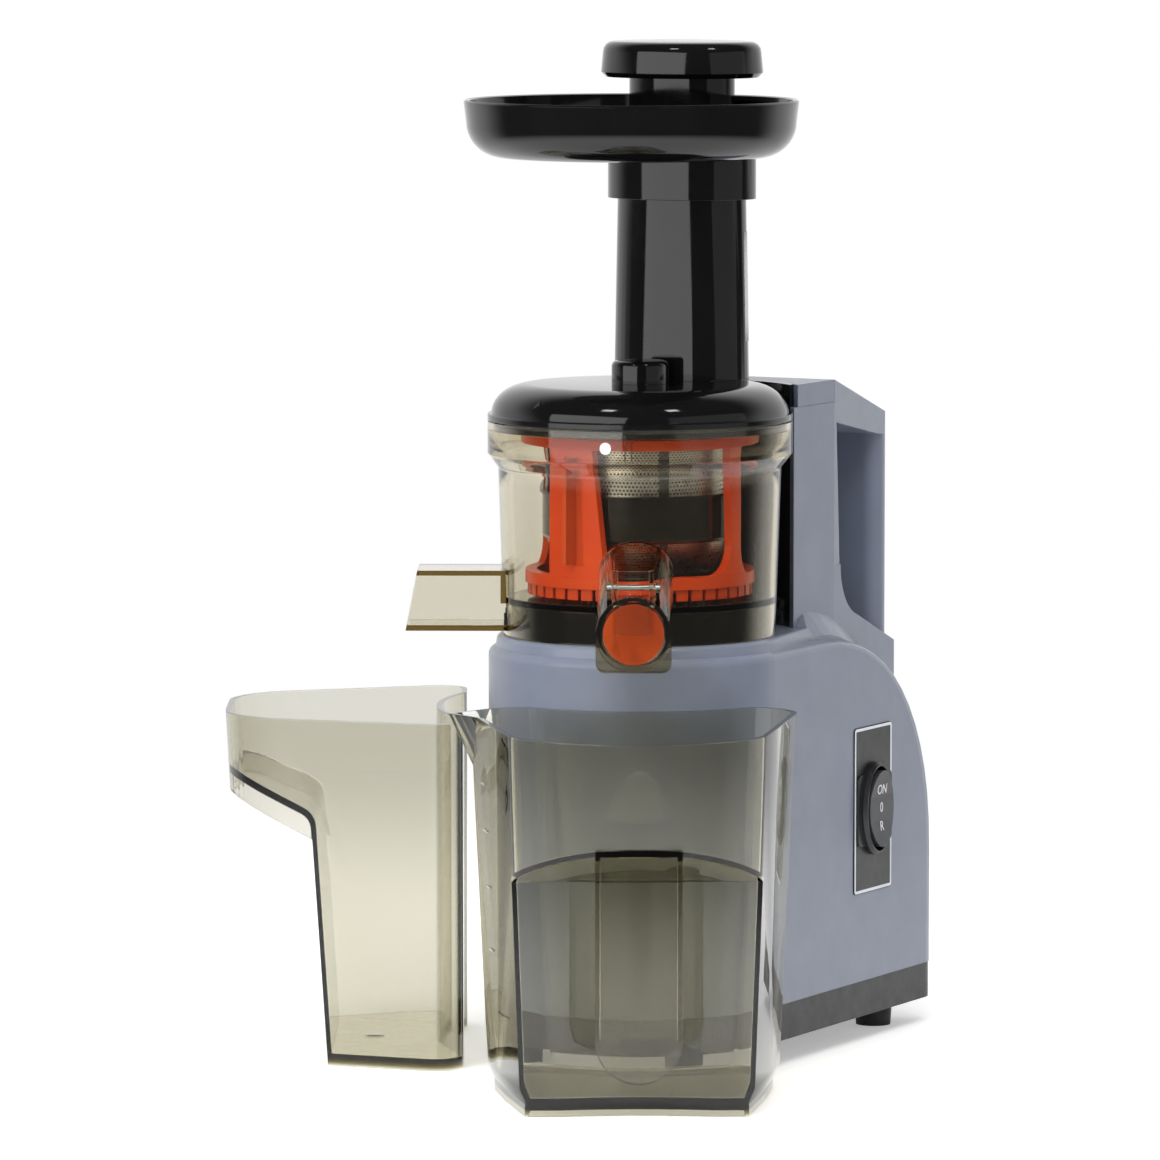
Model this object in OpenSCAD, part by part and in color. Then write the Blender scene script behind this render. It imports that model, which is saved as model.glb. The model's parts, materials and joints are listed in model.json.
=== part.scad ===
// Cold press juicer: vertical slow juicer with a geared induction motor in the base, a clear bowl
// with brush, strainer and auger, a black lid with feed tube, tray and pusher, a juice jug and a
// pulp container. The drive axis is Z, the front is -Y, the floor is Z = 0. Millimetres.

/* [Base housing] */
// Radius of the round front, and half width of the base
base_r = 63.6; // [60:0.2:66]
// Distance from the drive axis to the back of the base
base_back = 160; // [158:0.5:164]
// Height of the rubber feet under the bottom cover
foot_h = 11; // [8:0.5:14]
// Diameter of a foot
foot_d = 16.4; // [14:0.2:20]
// Height of the seam between bottom cover and housing
seam_z = 26.4; // [24:0.2:28]
// Height of the deck that carries the bowl
deck_z = 180.6; // [178:0.2:184]
// Wall of the housing
wall = 2.6; // [2:0.1:3.2]
// Height where the flat flanks start to arch forward
arch_z = 75; // [70:1:80]
// Distance from the drive axis to the middle of the flank arch
arch_y = 50; // [46:1:54]
// Width of the rounding along the edge of the flanks
flank_round = 12.6; // [10:0.2:14]

/* [Column and handle] */
// Half width of the column behind the bowl
column_half = 48; // [46:0.5:50]
// Radius of the hollow front of the column, about the drive axis
column_r = 68; // [67:0.2:70]
// Distance from the drive axis to the back of the column
column_back = 87; // [84:0.5:90]
// Height of the column
column_top = 283.5; // [280:0.5:288]
// Height of the seam below the column cap
cap_seam = 274; // [272:0.5:276]
// Half width of the handle at its back
handle_half = 39.3; // [37:0.1:41]
// Height of the top of the handle at its back
handle_top = 263.5; // [260:0.5:266]
// Depth of the upright grip
grip_depth = 14; // [12:0.5:16]
// Half width of the hip below the grip
hip_half = 44; // [42:0.5:46]

/* [Switch] */
// Distance of the switch from the drive axis, towards the back
switch_y = 92.9; // [90:0.5:96]
// Height of the middle of the switch
switch_z = 100; // [96:0.5:104]
// Width of the switch plate
plate_w = 36; // [33:0.5:38]
// Height of the switch plate
plate_h = 71; // [66:0.5:74]
// Width of the oval bezel
bezel_w = 28; // [27.5:0.5:30]
// Height of the oval bezel
bezel_h = 40; // [39.5:0.5:43]
// Width of the oval rocker
rocker_w = 22; // [20:0.5:22.5]
// Height of the oval rocker
rocker_h = 33; // [30:0.5:33.5]

/* [Drive] */
// Module of the motor stage gears
fast_module = 1; // [1:0.05:1.05]
// Teeth of the motor pinion
pinion_teeth = 12; // [12:1:14]
// Teeth of the large wheel of the compound gear
wheel_teeth = 60; // [56:2:60]
// Module of the output stage gears
slow_module = 1.25; // [1.2:0.05:1.3]
// Teeth of the small wheel of the compound gear
small_teeth = 13; // [13:1:14]
// Teeth of the output gear
output_teeth = 52; // [50:1:53]
// Play between meshing teeth at the pitch circle
backlash = 0.3; // [0.24:0.02:0.4]
// Width across flats of the hexagonal output shaft
hex_flats = 10; // [9:0.2:11]
// Height of the top of the output shaft
shaft_top = 226; // [222:1:232]
// Diameter of the motor shaft
motor_shaft_d = 8; // [7:0.2:9]
// Half width of the square motor stack
motor_half = 38; // [36:0.5:39]
// Height of the motor stack
stack_h = 42; // [38:1:44]
// Diameter of the rotor
rotor_d = 44; // [42:0.5:46]

/* [Bowl] */
// Outer radius of the bowl at its foot
bowl_foot_r = 57.3; // [56.8:0.1:57.8]
// Outer radius of the bowl below its rim
bowl_r = 59.5; // [59:0.1:60]
// Outer radius of the bowl rim
rim_r = 64; // [63.6:0.1:64.4]
// Height of the lower edge of the rim band
rim_low_z = 257; // [256:0.5:258]
// Height of the top of the bowl
rim_z = 270.5; // [270:0.1:271]
// Wall of the bowl
bowl_wall = 2.2; // [1.9:0.1:2.4]
// Height of the top of the bowl seat
seat_z = 194.5; // [193:0.5:195]
// Direction of the juice outlet, turned from the front towards the switch side
outlet_angle = 26; // [22:1:30]
// Distance from the drive axis to the end of the outlet
outlet_reach = 95; // [93:0.5:97]
// Height of the middle of the outlet
outlet_z = 190; // [189:0.5:191]
// Outer diameter of the outlet
outlet_d = 31; // [30:0.5:32]
// Direction of the pulp chute, turned from the front towards the switch side
chute_angle = -63; // [-66:1:-60]
// Distance from the drive axis to the end of the chute
chute_reach = 98; // [95:0.5:101]
// Width of the chute
chute_w = 30; // [28:0.5:32]
// Height of the chute
chute_h = 25.3; // [24:0.1:27]

/* [Strainer, brush and auger] */
// Module of the brush drive gears
brush_module = 2; // [1.96:0.02:2.02]
// Teeth of the auger gear
auger_teeth = 20; // [20:1:21]
// Teeth of the idler gear
idler_teeth = 12; // [11:1:12]
// Thickness of the brush drive gears
brush_gear_h = 4.6; // [4:0.1:4.8]
// Radius of the dark middle band of the strainer
band_r = 41; // [40.4:0.2:41.6]
// Height of the lower edge of the middle band
band_low_z = 221.6; // [220:0.4:224]
// Height of the middle band
band_h = 20; // [18:0.5:22]
// Thickness of the strainer sheet
sheet = 0.6; // [0.5:0.1:0.8]
// Outer radius of the top ring of the brush
brush_top_r = 50; // [49:0.2:51]
// Depth of the auger flights at the foot
flight_foot = 6; // [5:0.5:7]
// Depth of the auger flights at the top
flight_top = 21; // [19:0.5:22]

/* [Lid, tray and pusher] */
// Height of the flat top of the lid
lid_z = 286; // [285:0.5:288]
// Radius of the flat top of the lid
lid_flat_r = 46; // [44:0.5:48]
// Distance from the drive axis to the middle of the feed tube
tube_y = 38; // [37:0.5:39]
// Half length of the feed tube at its top, across the lid
tube_a = 28.3; // [27.6:0.1:29]
// Half width of the feed tube at its top, front to back
tube_b = 21; // [20.4:0.1:21.6]
// Height of the top of the feed tube
tube_top = 375; // [370:0.5:378]
// Wall of the feed tube
tube_wall = 2.5; // [2.2:0.1:2.8]
// Radius of the tray
tray_r = 70; // [68:0.5:72]
// Distance from the drive axis to the middle of the tray, towards the front
tray_y = 8; // [6:0.5:10]
// Height of the underside of the tray
tray_z = 381; // [379:0.5:383]
// Height of the tray
tray_h = 24; // [22:0.5:26]
// Rounding of the foot of the tray
tray_round = 15; // [13:0.5:17]
// Height of the top of the pusher
pusher_top = 428; // [426:0.5:434]
// Height of the pusher cap
pusher_cap_h = 15; // [13:0.5:17]
// Play between pusher and feed tube
pusher_play = 0.6; // [0.5:0.05:0.8]

/* [Juice jug] */
// Height of the jug
jug_h = 155.5; // [150:0.5:160]
// Direction that the front of the jug faces, turned as the outlet is
jug_angle = 28.7; // [26:0.1:31]
// Half width of the jug at its rim
jug_rim_half = 67.2; // [65.5:0.1:68]
// Half width of the jug at its foot
jug_foot_half = 60.3; // [59.5:0.1:61]
// Radius of the round nose of the jug
nose_r = 57.5; // [56.5:0.1:58.5]
// Distance from the drive axis to the front of the jug's rim
jug_reach = 191; // [189:0.5:193]
// Distance from the drive axis to the recessed lower front
panel_reach = 154; // [152:0.5:156]
// Wall of the jug
jug_wall = 2.4; // [2.1:0.1:2.7]
// Width of the hanging tab handle
tab_w = 35; // [33:0.5:37]
// Height of the lower end of the tab handle
tab_low = 19; // [16:0.5:22]

/* [Pulp container] */
// Height of the pulp container
pulp_h = 146.5; // [142:0.5:150]
// Direction that the pulp container faces, turned as the chute is
pulp_angle = -62; // [-63:0.5:-61]
// Sideways place of the middle of the container
pulp_side = -34.5; // [-36:0.5:-33]
// Distance from the drive axis to the tip of the wing
pulp_reach = 175; // [172:0.5:178]
// Wall of the pulp container
pulp_wall = 2.2; // [1.9:0.1:2.5]
// Radius of the hollow side of the container
pulp_hollow_r = 115; // [110:1:120]

/* [Fits] */
// Running clearance of a shaft in its bush, on the radius
running_fit = 0.05; // [0.04:0.01:0.08]
// Clearance between pieces that are taken apart by hand, on the radius
loose_fit = 0.4; // [0.35:0.05:0.5]

/* [Hidden] */
$fn = 72;

housing_color = "#868a96";
black = "#1c1c1e";
smoke = "#b5ae90";
orange = "#e0561f";
steel = "#c9ccd0";
rubber = "#2b2b2d";
eps = 0.01;

// ---- levels and places that follow from the sizes above ----
bottom_z = foot_h;
cover_wall = 3;
floor_in = bottom_z + cover_wall;
flank_top = deck_z - 8.4;
flank_back = base_back - 12.8;
flank_rise = 4;
ceiling_z = deck_z - wall;

small_r = slow_module * small_teeth / 2;
output_r = slow_module * output_teeth / 2;
pinion_r = fast_module * pinion_teeth / 2;
wheel_r = fast_module * wheel_teeth / 2;
compound_y = small_r + output_r;
motor_y = compound_y + pinion_r + wheel_r;

case_wall = 3;
case_low = 126;
case_in = case_low + case_wall;
wheel_z = case_in + 2.5;
wheel_h = 9;
slow_z = wheel_z + wheel_h + 3;
slow_h = 13;
case_top = slow_z + slow_h + 3;
case_half = max(output_r + 1.25 * slow_module + 2, motor_half) + case_wall - 1;
case_front = -(output_r + slow_module + 2 + case_wall);
case_back = motor_y + motor_half;
lid_plate = 4;
gearbox_top = case_top + lid_plate;

winding_h = 11;
end_plate = 4;
end_leg = 3;
stack_top = case_low - end_plate - winding_h - 8;
stack_low = stack_top - stack_h;
upper_plate_z = stack_top + winding_h + end_leg;
lower_plate_z = stack_low - winding_h - end_leg - end_plate;
bolt_at = motor_half - 6;
bolt_d = 4;
fan_z = lower_plate_z - 17;
fan_h = 12;
fan_r = 33;

hub_r = 11;
hub_bore = hex_flats / 2 / cos(30) + 1.2;
bowl_floor = 2.5;
floor_z = seat_z + bowl_floor;
gear_z = floor_z + 1.4;
gear_top = gear_z + brush_gear_h;
auger_pitch_r = brush_module * auger_teeth / 2;
idler_r = brush_module * idler_teeth / 2;
idler_at = auger_pitch_r + idler_r;
ring_teeth = auger_teeth + 2 * idler_teeth;
ring_r = brush_module * ring_teeth / 2;
idler_angle = 90;
ring_plate_h = 5;
strainer_floor_z = gear_top + 2;
strainer_base_t = 1.6;
gear_tip_r = auger_pitch_r + 0.8 * brush_module;
strainer_hole_r = gear_tip_r + 0.5;
strainer_foot_r = strainer_hole_r + 9;
flange_z = rim_z - 3.4;
flange_h = 2;
flange_r = rim_r - bowl_wall - loose_fit;
ledge_z = flange_z;
band_top_z = band_low_z + band_h;
mesh_top_r = band_r - 2;
seat_r = bowl_foot_r - bowl_wall - loose_fit;

chute_low = seat_z - 11.5;
channel_z = chute_low - loose_fit;
chute_roof = chute_low + chute_h;
well_in = strainer_hole_r + 1.6;
well_out = well_in + 7;
well_half = 10;
duct_wall = 2.2;
bulge_r = outlet_d / 2;
bulge_z = floor_z + bulge_r - 2.3 + 0.4;
cap_hinge_z = outlet_z + bulge_r + 4;
cap_hinge_r = outlet_reach + 2.2;
cap_t = 2.2;
cap_gap = 0.3;

auger_low = strainer_floor_z + strainer_base_t + 0.6;
auger_high = flange_z - 4;
auger_bore = hex_flats / 2 / cos(30) + 2.6;
auger_out_low = strainer_foot_r - 1.6;
auger_out_high = mesh_top_r - 2.6;
spindle_pin_r = 5;
boss_r = 12;
boss_z = lid_z + 9.6;
pin_top = boss_z - 3.4;

lid_gap = 0.5;
lid_low = rim_z + lid_gap;
lid_edge_h = 2.6;
lid_wall = 2.6;
throat_z = lid_z + 2.5;
pusher_a = tube_a - tube_wall - pusher_play;
pusher_b = tube_b - tube_wall - pusher_play;
neck_a = pusher_a - 1.7;
neck_b = pusher_b - 1;
tray_wall = 2.5;
collar_a = tube_a + 4.5;
collar_b = tube_b + 4;
collar_low = tube_top - 13;
neck_z = tray_z + tray_wall + 2;
cap_a = 35.4;
cap_b = 29.5;

tab_t = 3.6;
tab_flange = 4;
recess_side_z = 96;
recess_slope = 0.47;
tab_top = recess_side_z + recess_slope * (jug_reach - 3 - panel_reach) + 1;
foot_rim_h = 5.5;
foot_rim_step = 2.4;
nose_depth = 25;
cheek_slope = 0.195;
cheek_foot = 47.5;
cheek_rim = 50.6;
jug_corner_r = 20;
jug_corner_y = -80;
cheek_lean = 11;
jug_back_r = base_r + 7.6;
jug_shift = -4;
spout_x = -68;

wing_low_tip = 114;
wing_low_body = 96;
body_reach = 131;
body_lean = 6.3;
wing_nose_r = 38;
wing_nose_x = 18;
wing_skirt = 8.5;
horn_x = 74.5;
horn_y = 86;
horn_r = 12;
pulp_draft = 5;
pressure_angle = 20;

// ---- shared shapes ----

// Extrude a (Y, Z) outline along X, centred on the middle plane
module across(width) {
    rotate([90, 0, 90]) translate([0, 0, -width / 2]) linear_extrude(width) children();
}

// Turn children so that their -Y points along an angle from the front
module facing(angle) {
    rotate([0, 0, angle]) children();
}

// Rectangle with round corners, centred
module round_rect(w, h, r) {
    square([w - 2 * r, h], center = true);
    square([w, h - 2 * r], center = true);
    for (x = [-1, 1], y = [-1, 1])
        translate([x * (w / 2 - r), y * (h / 2 - r)]) circle(r);
}

// Ring with inner and outer radius
module ring(outer, inner, h) {
    difference() {
        cylinder(h, r = outer);
        translate([0, 0, -1]) cylinder(h + 2, r = inner);
    }
}

// Regular hexagon rod by its width across flats
module hex_rod(flats, h) {
    linear_extrude(h) circle(d = flats / cos(30), $fn = 6);
}

function oval(a, b, n = 48) = [for (i = [0:n - 1]) [a * cos(360 * i / n), b * sin(360 * i / n)]];
function polar(r, angle) = [r * cos(angle), r * sin(angle)];
function arc(cx, cy, rx, ry, from, to, n) =
    [for (i = [0:n]) let (t = from + (to - from) * i / n) [cx + rx * cos(t), cy + ry * sin(t)]];

// ---- gears ----

function involute(a) = tan(a) * 180 / PI - a;
function flank_angle(r, root_circle) = r > root_circle ? acos(root_circle / r) : 0;

// Half of the angle that a tooth of an outer gear fills at radius r
function tooth_half(teeth, gear_module, r) =
    let (pitch = teeth * gear_module / 2)
    90 / teeth - backlash / 4 / pitch * 180 / PI + involute(pressure_angle)
        - involute(flank_angle(r, pitch * cos(pressure_angle)));

// Half of the angle that a tooth of a ring gear fills at radius r
function ring_tooth_half(teeth, gear_module, r) =
    let (pitch = teeth * gear_module / 2)
    90 / teeth - backlash / 4 / pitch * 180 / PI - involute(pressure_angle)
        + involute(flank_angle(r, pitch * cos(pressure_angle)));

module gear_outline(teeth, gear_module, rise = 0.9, drop = 1.15) {
    pitch = teeth * gear_module / 2;
    root = pitch - drop * gear_module;
    start = max(root + 0.05, pitch * cos(pressure_angle));
    tip = pitch + rise * gear_module;
    radii = concat([root], [for (k = [0:3]) start + (tip - start) * k / 3]);
    last = len(radii) - 1;
    polygon([for (i = [0:teeth - 1], side = [-1, 1], k = [0:last])
        let (r = radii[side < 0 ? k : last - k])
        polar(r, 360 * i / teeth + side * tooth_half(teeth, gear_module, r))]);
}

module gear(teeth, gear_module, h, turn = 0, rise = 0.9, drop = 1.15) {
    rotate([0, 0, turn]) linear_extrude(h) gear_outline(teeth, gear_module, rise, drop);
}

// Turn that puts a gap of a gear at the given direction
function gap_at(teeth, direction) = direction - 180 / teeth;

// ---- base ----

// Plan of the base, drawn in by a margin
module base_plan(inset) {
    corner = flank_round;
    half = base_r - inset;
    circle(half);
    translate([-half, 0]) square([2 * half, base_back - corner]);
    translate([-base_r + corner, 0]) square([2 * (base_r - corner), base_back - inset]);
    for (x = [-1, 1])
        translate([x * (base_r - corner), base_back - corner]) circle(corner - inset);
}

// Side outline of a flank: straight back, then an arch over the motor
function flank_outline(back, top, low) = concat([[0, low], [back, low]],
    [for (i = [0:14]) let (t = 90 * i / 14)
        [arch_y + (back - arch_y) * pow(cos(t), 0.9), arch_z + (top - arch_z) * pow(sin(t), 0.9)]],
    [[0, top]]);

// Flanks with rounded edges, drawn in by a margin
module flanks(inset, low, steps) {
    hull() for (i = [0:steps], side = [-1, 1]) {
        q = 90 * i / steps;
        x = base_r - inset - (flank_round - inset) * (1 - cos(q));
        translate([side * (x - eps / 2), 0, 0]) across(eps)
            polygon(flank_outline(flank_back - inset + (base_back - flank_back) * sin(q),
                flank_top - inset + flank_rise * sin(q), low));
    }
}

// Half turn about the drive axis, on the front side
module front_half() {
    rotate([0, 0, 180]) rotate_extrude(angle = 180) children();
}

// Outline of the round front with its stepped shoulder, for a revolve
function front_outline() = concat([[0, seam_z], [base_r, seam_z]],
    arc(base_r - 3.6, flank_top, 3.6, 3.6, 0, 80, 5),
    arc(base_r - 5.4, deck_z - 2, 2, 2, 0, 90, 4), [[0, deck_z]]);

// Deck that narrows from the round front to the foot of the column
module deck() {
    low = deck_z - 14;
    hull() {
        for (level = [[low, base_r - 3.4], [deck_z - 2, base_r - 3.4],
                [deck_z - 0.6, base_r - 4], [deck_z - eps, base_r - 5.4]])
            translate([0, 0, level[0]]) linear_extrude(eps) intersection() {
                circle(level[1]);
                translate([-base_r, 0]) square([2 * base_r, base_r]);
            }
        translate([-column_half - 4, column_back - eps, low]) cube([2 * column_half + 8, eps, 9]);
        translate([-column_half, column_back - eps, low]) cube([2 * column_half, eps, deck_z - low]);
    }
}

// Right half of the plan of column and handle: full width at the column, narrower at the back
function handle_side(back_half, inset) =
    let (front_corner = max(3 - inset, 0.6), back_corner = max(7 - inset, 0.6))
    concat(arc(column_half - inset - front_corner, 45 + inset + front_corner, front_corner,
            front_corner, -90, 0, 5), [[column_half - inset, column_back]],
        arc(back_half - inset - back_corner, base_back - inset - back_corner, back_corner,
            back_corner, 10, 90, 6));

module handle_plan(back_half, inset) {
    right = handle_side(back_half, inset);
    last = len(right) - 1;
    polygon(concat(right, [for (i = [0:last]) [-right[last - i][0], right[last - i][1]]]));
}

hip_z = 163.5;
slot_back = base_back - grip_depth;
slot_front = column_back + 2.7;
slot_lean = 4.5;
slot_roof = 18.5;
roof_back = 9;
slot_low = hip_z + 40.5;
foot_round = 24;

// Rounded foot of the slot, where the leaning back of the column meets the hip
function slot_foot() = arc(slot_front + slot_lean + foot_round, slot_low, foot_round, foot_round,
    180, 258, 8);

// Side outline of the slot that the hand reaches through
function slot_outline() = concat([[slot_front, column_top - slot_roof]], slot_foot(),
    [[base_back + 1, hip_z], [base_back + 1, handle_top - roof_back],
     [slot_back, handle_top - roof_back + 0.1 * grip_depth]]);

module column_and_handle() {
    difference() {
        intersection() {
            translate([0, 0, seam_z]) linear_extrude(column_top) handle_plan(handle_half, 0);
            across(2 * base_r) difference() {
                polygon([[20, seam_z], [base_back + 1, seam_z], [base_back + 1, handle_top],
                    [column_back, column_top], [20, column_top]]);
                polygon(slot_outline());
            }
        }
        translate([0, 0, cap_seam])
            linear_extrude(column_top) translate([-base_r, 0]) square([2 * base_r, column_back]);
    }
    // upright grip at the back of the handle
    translate([0, 0, hip_z - 20]) linear_extrude(handle_top - hip_z + 14)
        intersection() {
            translate([0, base_back - grip_depth / 2])
                round_rect(2 * handle_half, grip_depth, grip_depth / 2 - 0.5);
            handle_plan(handle_half, 0);
        }
    // hip that carries the grip
    intersection() {
        translate([0, 0, seam_z]) linear_extrude(slot_low) handle_plan(hip_half, 0);
        across(2 * base_r) polygon(concat([[20, seam_z], [20, slot_low]], slot_foot(),
            [[base_back, hip_z + 0.3], [base_back + 1, hip_z], [base_back + 1, seam_z]]));
    }
}

// Flare at the foot of the column, down to the edge of the flanks
module column_flare() {
    hull() {
        for (side = [-1, 1], i = [0:3]) {
            q = 30 * i;
            translate([side * (column_half + 8 - 12 * sin(q)), 0, 0]) across(eps)
                polygon(concat([[48, 150]],
                    arc(arch_y + 8, arch_z + 10, 82 + 9 * (1 - cos(q)), 92 + 14 * (1 - cos(q)),
                        40, 88, 8), [[48, flank_top + 4]]));
        }
    }
}

module housing_cavity() {
    front_half() polygon([[0, seam_z - 1], [base_r - wall, seam_z - 1],
        [base_r - wall, flank_top - wall], [base_r - 5.4 - wall, ceiling_z], [0, ceiling_z]]);
    translate([0, 0, -1]) flanks(wall, seam_z, 3);
    translate([-column_half + 2, -eps, arch_z])
        cube([2 * column_half - 4, column_back - 10, ceiling_z - arch_z]);
    // inside of hip and column
    intersection() {
        translate([0, 0, seam_z - 1]) linear_extrude(cap_seam) handle_plan(hip_half, wall);
        across(2 * base_r) polygon([[45, seam_z - 1], [45, ceiling_z], [column_back, ceiling_z],
            [base_back - wall, hip_z - 6], [base_back - wall, seam_z - 1]]);
    }
    translate([0, 0, deck_z + wall]) linear_extrude(column_top) intersection() {
        handle_plan(handle_half, wall + 0.6);
        translate([-base_r, 0]) square([2 * base_r, column_back - wall]);
    }
}

module housing() {
    color(housing_color) difference() {
        union() {
            front_half() polygon(front_outline());
            flanks(0, seam_z, 5);
            deck();
            column_flare();
            column_and_handle();
        }
        housing_cavity();
        // hollow front of the column
        translate([0, 0, deck_z]) cylinder(column_top, r = column_r);
        // seat of the black panel
        translate([-panel_half - 0.1, 0, deck_z]) intersection() {
            translate([panel_half + 0.1, 0, 0]) cylinder(column_top, r = column_r + panel_t + 0.1);
            cube([2 * panel_half + 0.2, column_r + panel_t + 1, column_top]);
        }
        // opening for the gearbox neck under the bowl seat
        cylinder(deck_z + 1, r = neck_bore);
        // seat, rocker opening and fixing of the switch
        translate([base_r - plate_in, switch_y, switch_z]) rotate([90, 0, 90])
            linear_extrude(10) round_rect(plate_w + 0.2, plate_h + 0.2, 1.6);
        translate([base_r - 12, switch_y, switch_z]) rotate([90, 0, 90])
            linear_extrude(20) round_rect(rocker_w + 4, rocker_h + 6, 3);
        // hole for the cord grommet
        translate([0, base_back - 10, cord_z]) rotate([-90, 0, 0]) cylinder(20, r = cord_hole_r);
    }
    // posts that the gearbox hangs from
    color(housing_color) for (x = [-1, 1], y = post_y)
        difference() {
            translate([x * post_x, y, gearbox_top]) cylinder(ceiling_z + 1 - gearbox_top, r = 5);
            translate([x * post_x, y, gearbox_top - 1]) cylinder(7, r = 1.6);
        }
}

neck_bore = 16;
plate_in = 1.1;
plate_t = 1.6;
cord_z = 42;
cord_hole_r = 6;
post_x = case_half - 6;
post_y = [6, 66];

module column_cap() {
    color(housing_color) translate([0, 0, cap_seam + 0.1])
        difference() {
            linear_extrude(column_top - cap_seam - 0.1) intersection() {
                handle_plan(handle_half, 0);
                translate([-base_r, 0]) square([2 * base_r, column_back - 0.05]);
            }
            translate([0, 0, -1]) cylinder(column_top, r = column_r + panel_t + 0.2);
            translate([0, 0, -1]) linear_extrude(column_top - cap_seam - wall) intersection() {
                handle_plan(handle_half, wall + 0.6);
                translate([-base_r, 0]) square([2 * base_r, column_back - wall]);
            }
        }
    // plug that centres the cap in the column
    color(housing_color) translate([0, 0, cap_seam - 5])
        linear_extrude(column_top + 4 - cap_seam) difference() {
            intersection() {
                handle_plan(handle_half, wall + 0.8);
                translate([-base_r, 0]) square([2 * base_r, column_back - wall - 0.2]);
            }
            handle_plan(handle_half - 4, wall + 2.8);
            circle(column_r + panel_t + 0.4);
        }
}

panel_t = 2.4;
panel_half = column_half - 3.4;

module column_panel() {
    angle = asin(panel_half / column_r);
    color(black) translate([0, 0, deck_z]) intersection() {
        ring(column_r + panel_t, column_r, column_top - deck_z);
        translate([-panel_half, 0, 0])
            cube([2 * panel_half, column_r + panel_t + 1, column_top - deck_z]);
    }
}

module bowl_seat() {
    channel_w = chute_w + 2 * loose_fit + 1;
    color(black) difference() {
        translate([0, 0, deck_z]) cylinder(seat_z - deck_z, r = seat_r);
        difference() {
            translate([0, 0, deck_z - 1]) ring(seat_r - 3, neck_bore + 3, seat_z - deck_z - 2);
            facing(chute_angle) translate([-channel_w / 2 - 2.4, -seat_r - 1, deck_z - 2])
                cube([channel_w + 4.8, seat_r + 1, 40]);
        }
        facing(chute_angle) translate([-channel_w / 2, -seat_r - 1, channel_z])
            cube([channel_w, seat_r + 1 - well_in + 3, 40]);
        translate([0, 0, deck_z - 1]) cylinder(40, r = bush_r + running_fit);
    }
}

bush_r = 9;

module bottom_cover() {
    color(black) difference() {
        union() {
            translate([0, 0, bottom_z]) linear_extrude(seam_z - bottom_z) base_plan(0.5);
            translate([0, 0, seam_z - 1]) linear_extrude(4) base_plan(wall + 1);
        }
        translate([0, 0, floor_in]) linear_extrude(40) base_plan(wall + 3);
        for (i = [-4:4]) translate([i * 8 - 2, motor_y - 26, bottom_z - 1]) cube([4, 52, 10]);
        for (p = cover_screws) translate([p[0], p[1], bottom_z - 1]) cylinder(10, r = 2.2);
    }
}

feet_at = [[-45, 133], [45, 133], [-38, -33], [38, -33]];
cover_screws = [[-50, 108], [50, 108], [-50, 8], [50, 8]];

module feet() {
    color(rubber) for (p = feet_at) translate([p[0], p[1], 0]) difference() {
        cylinder(foot_h, d1 = foot_d - 1.4, d2 = foot_d);
        translate([0, 0, -1]) cylinder(4, r = 3);
    }
}

module bottom_screws() {
    color(steel) for (p = cover_screws) translate([p[0], p[1], bottom_z - 1.6]) {
        cylinder(1.6, r = 3.6);
        cylinder(12, r = 1.9);
    }
}

// ---- switch ----

module on_switch_side(x) {
    translate([x, switch_y, switch_z]) rotate([90, 0, 90]) children();
}

plate_x = base_r - plate_in;
bezel_x = plate_x + plate_t;
bezel_proud = 3.6;
rocker_pivot = base_r - 3;
rocker_face = bezel_x + 4.6;
pivot_r = 1.5;
switch_depth = 15;
bezel_base_h = 30.5;

// Outline of the rocker, grown sideways and lengthways
module rocker_oval(side, end) {
    polygon(oval(rocker_w / 2 + side, rocker_h / 2 + end));
}

module switch_plate() {
    color(black) on_switch_side(plate_x) linear_extrude(plate_t) difference() {
        round_rect(plate_w, plate_h, 1.5);
        rocker_oval(1.6, 2.2);
    }
}

module switch_bezel() {
    color(black) on_switch_side(bezel_x) difference() {
        union() {
            linear_extrude(1) round_rect(plate_w - 3.4, bezel_base_h, 3);
            hull() {
                linear_extrude(bezel_proud - 1.4) polygon(oval(bezel_w / 2, bezel_h / 2));
                linear_extrude(bezel_proud) polygon(oval(bezel_w / 2 - 1.2, bezel_h / 2 - 1));
            }
        }
        translate([0, 0, -1]) linear_extrude(20) rocker_oval(0.7, 1.7);
    }
}

module switch_body() {
    color(rubber) on_switch_side(rocker_pivot - switch_depth) difference() {
        union() {
            linear_extrude(switch_depth - 4) square([rocker_w + 3, rocker_h + 4], center = true);
            for (x = [-1, 1]) translate([x * (rocker_w / 2 + 0.95), 0, 0])
                linear_extrude(switch_depth + plate_x - rocker_pivot)
                    square([1.1, rocker_h - 8], center = true);
        }
        translate([-20, 0, switch_depth]) rotate([0, 90, 0])
            cylinder(40, r = pivot_r + running_fit);
    }
    // blade terminals
    color("#b08d57") on_switch_side(rocker_pivot - switch_depth - 5) for (y = [-8, 0, 8])
        translate([0, y, 0]) linear_extrude(5) square([6, 0.8], center = true);
}

module rocker() {
    depth = rocker_face - rocker_pivot;
    color("#3d3e42") on_switch_side(rocker_pivot) {
        intersection() {
            translate([-rocker_w / 2, 0, 0]) rotate([90, 0, 90]) linear_extrude(rocker_w)
                polygon([[-rocker_h / 2, 2], [-rocker_h / 2, depth + 0.6], [-rocker_h / 6, depth - 0.6],
                    [rocker_h / 6, depth - 0.6], [rocker_h / 2, depth + 0.6], [rocker_h / 2, 2],
                    [4, -3], [-4, -3]]);
            translate([0, 0, -4]) linear_extrude(depth + 6) rocker_oval(0, 0);
        }
        translate([-rocker_w / 2 - 1.8, 0, 0]) rotate([0, 90, 0])
            cylinder(rocker_w + 3.6, r = pivot_r);
    }
}

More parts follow.
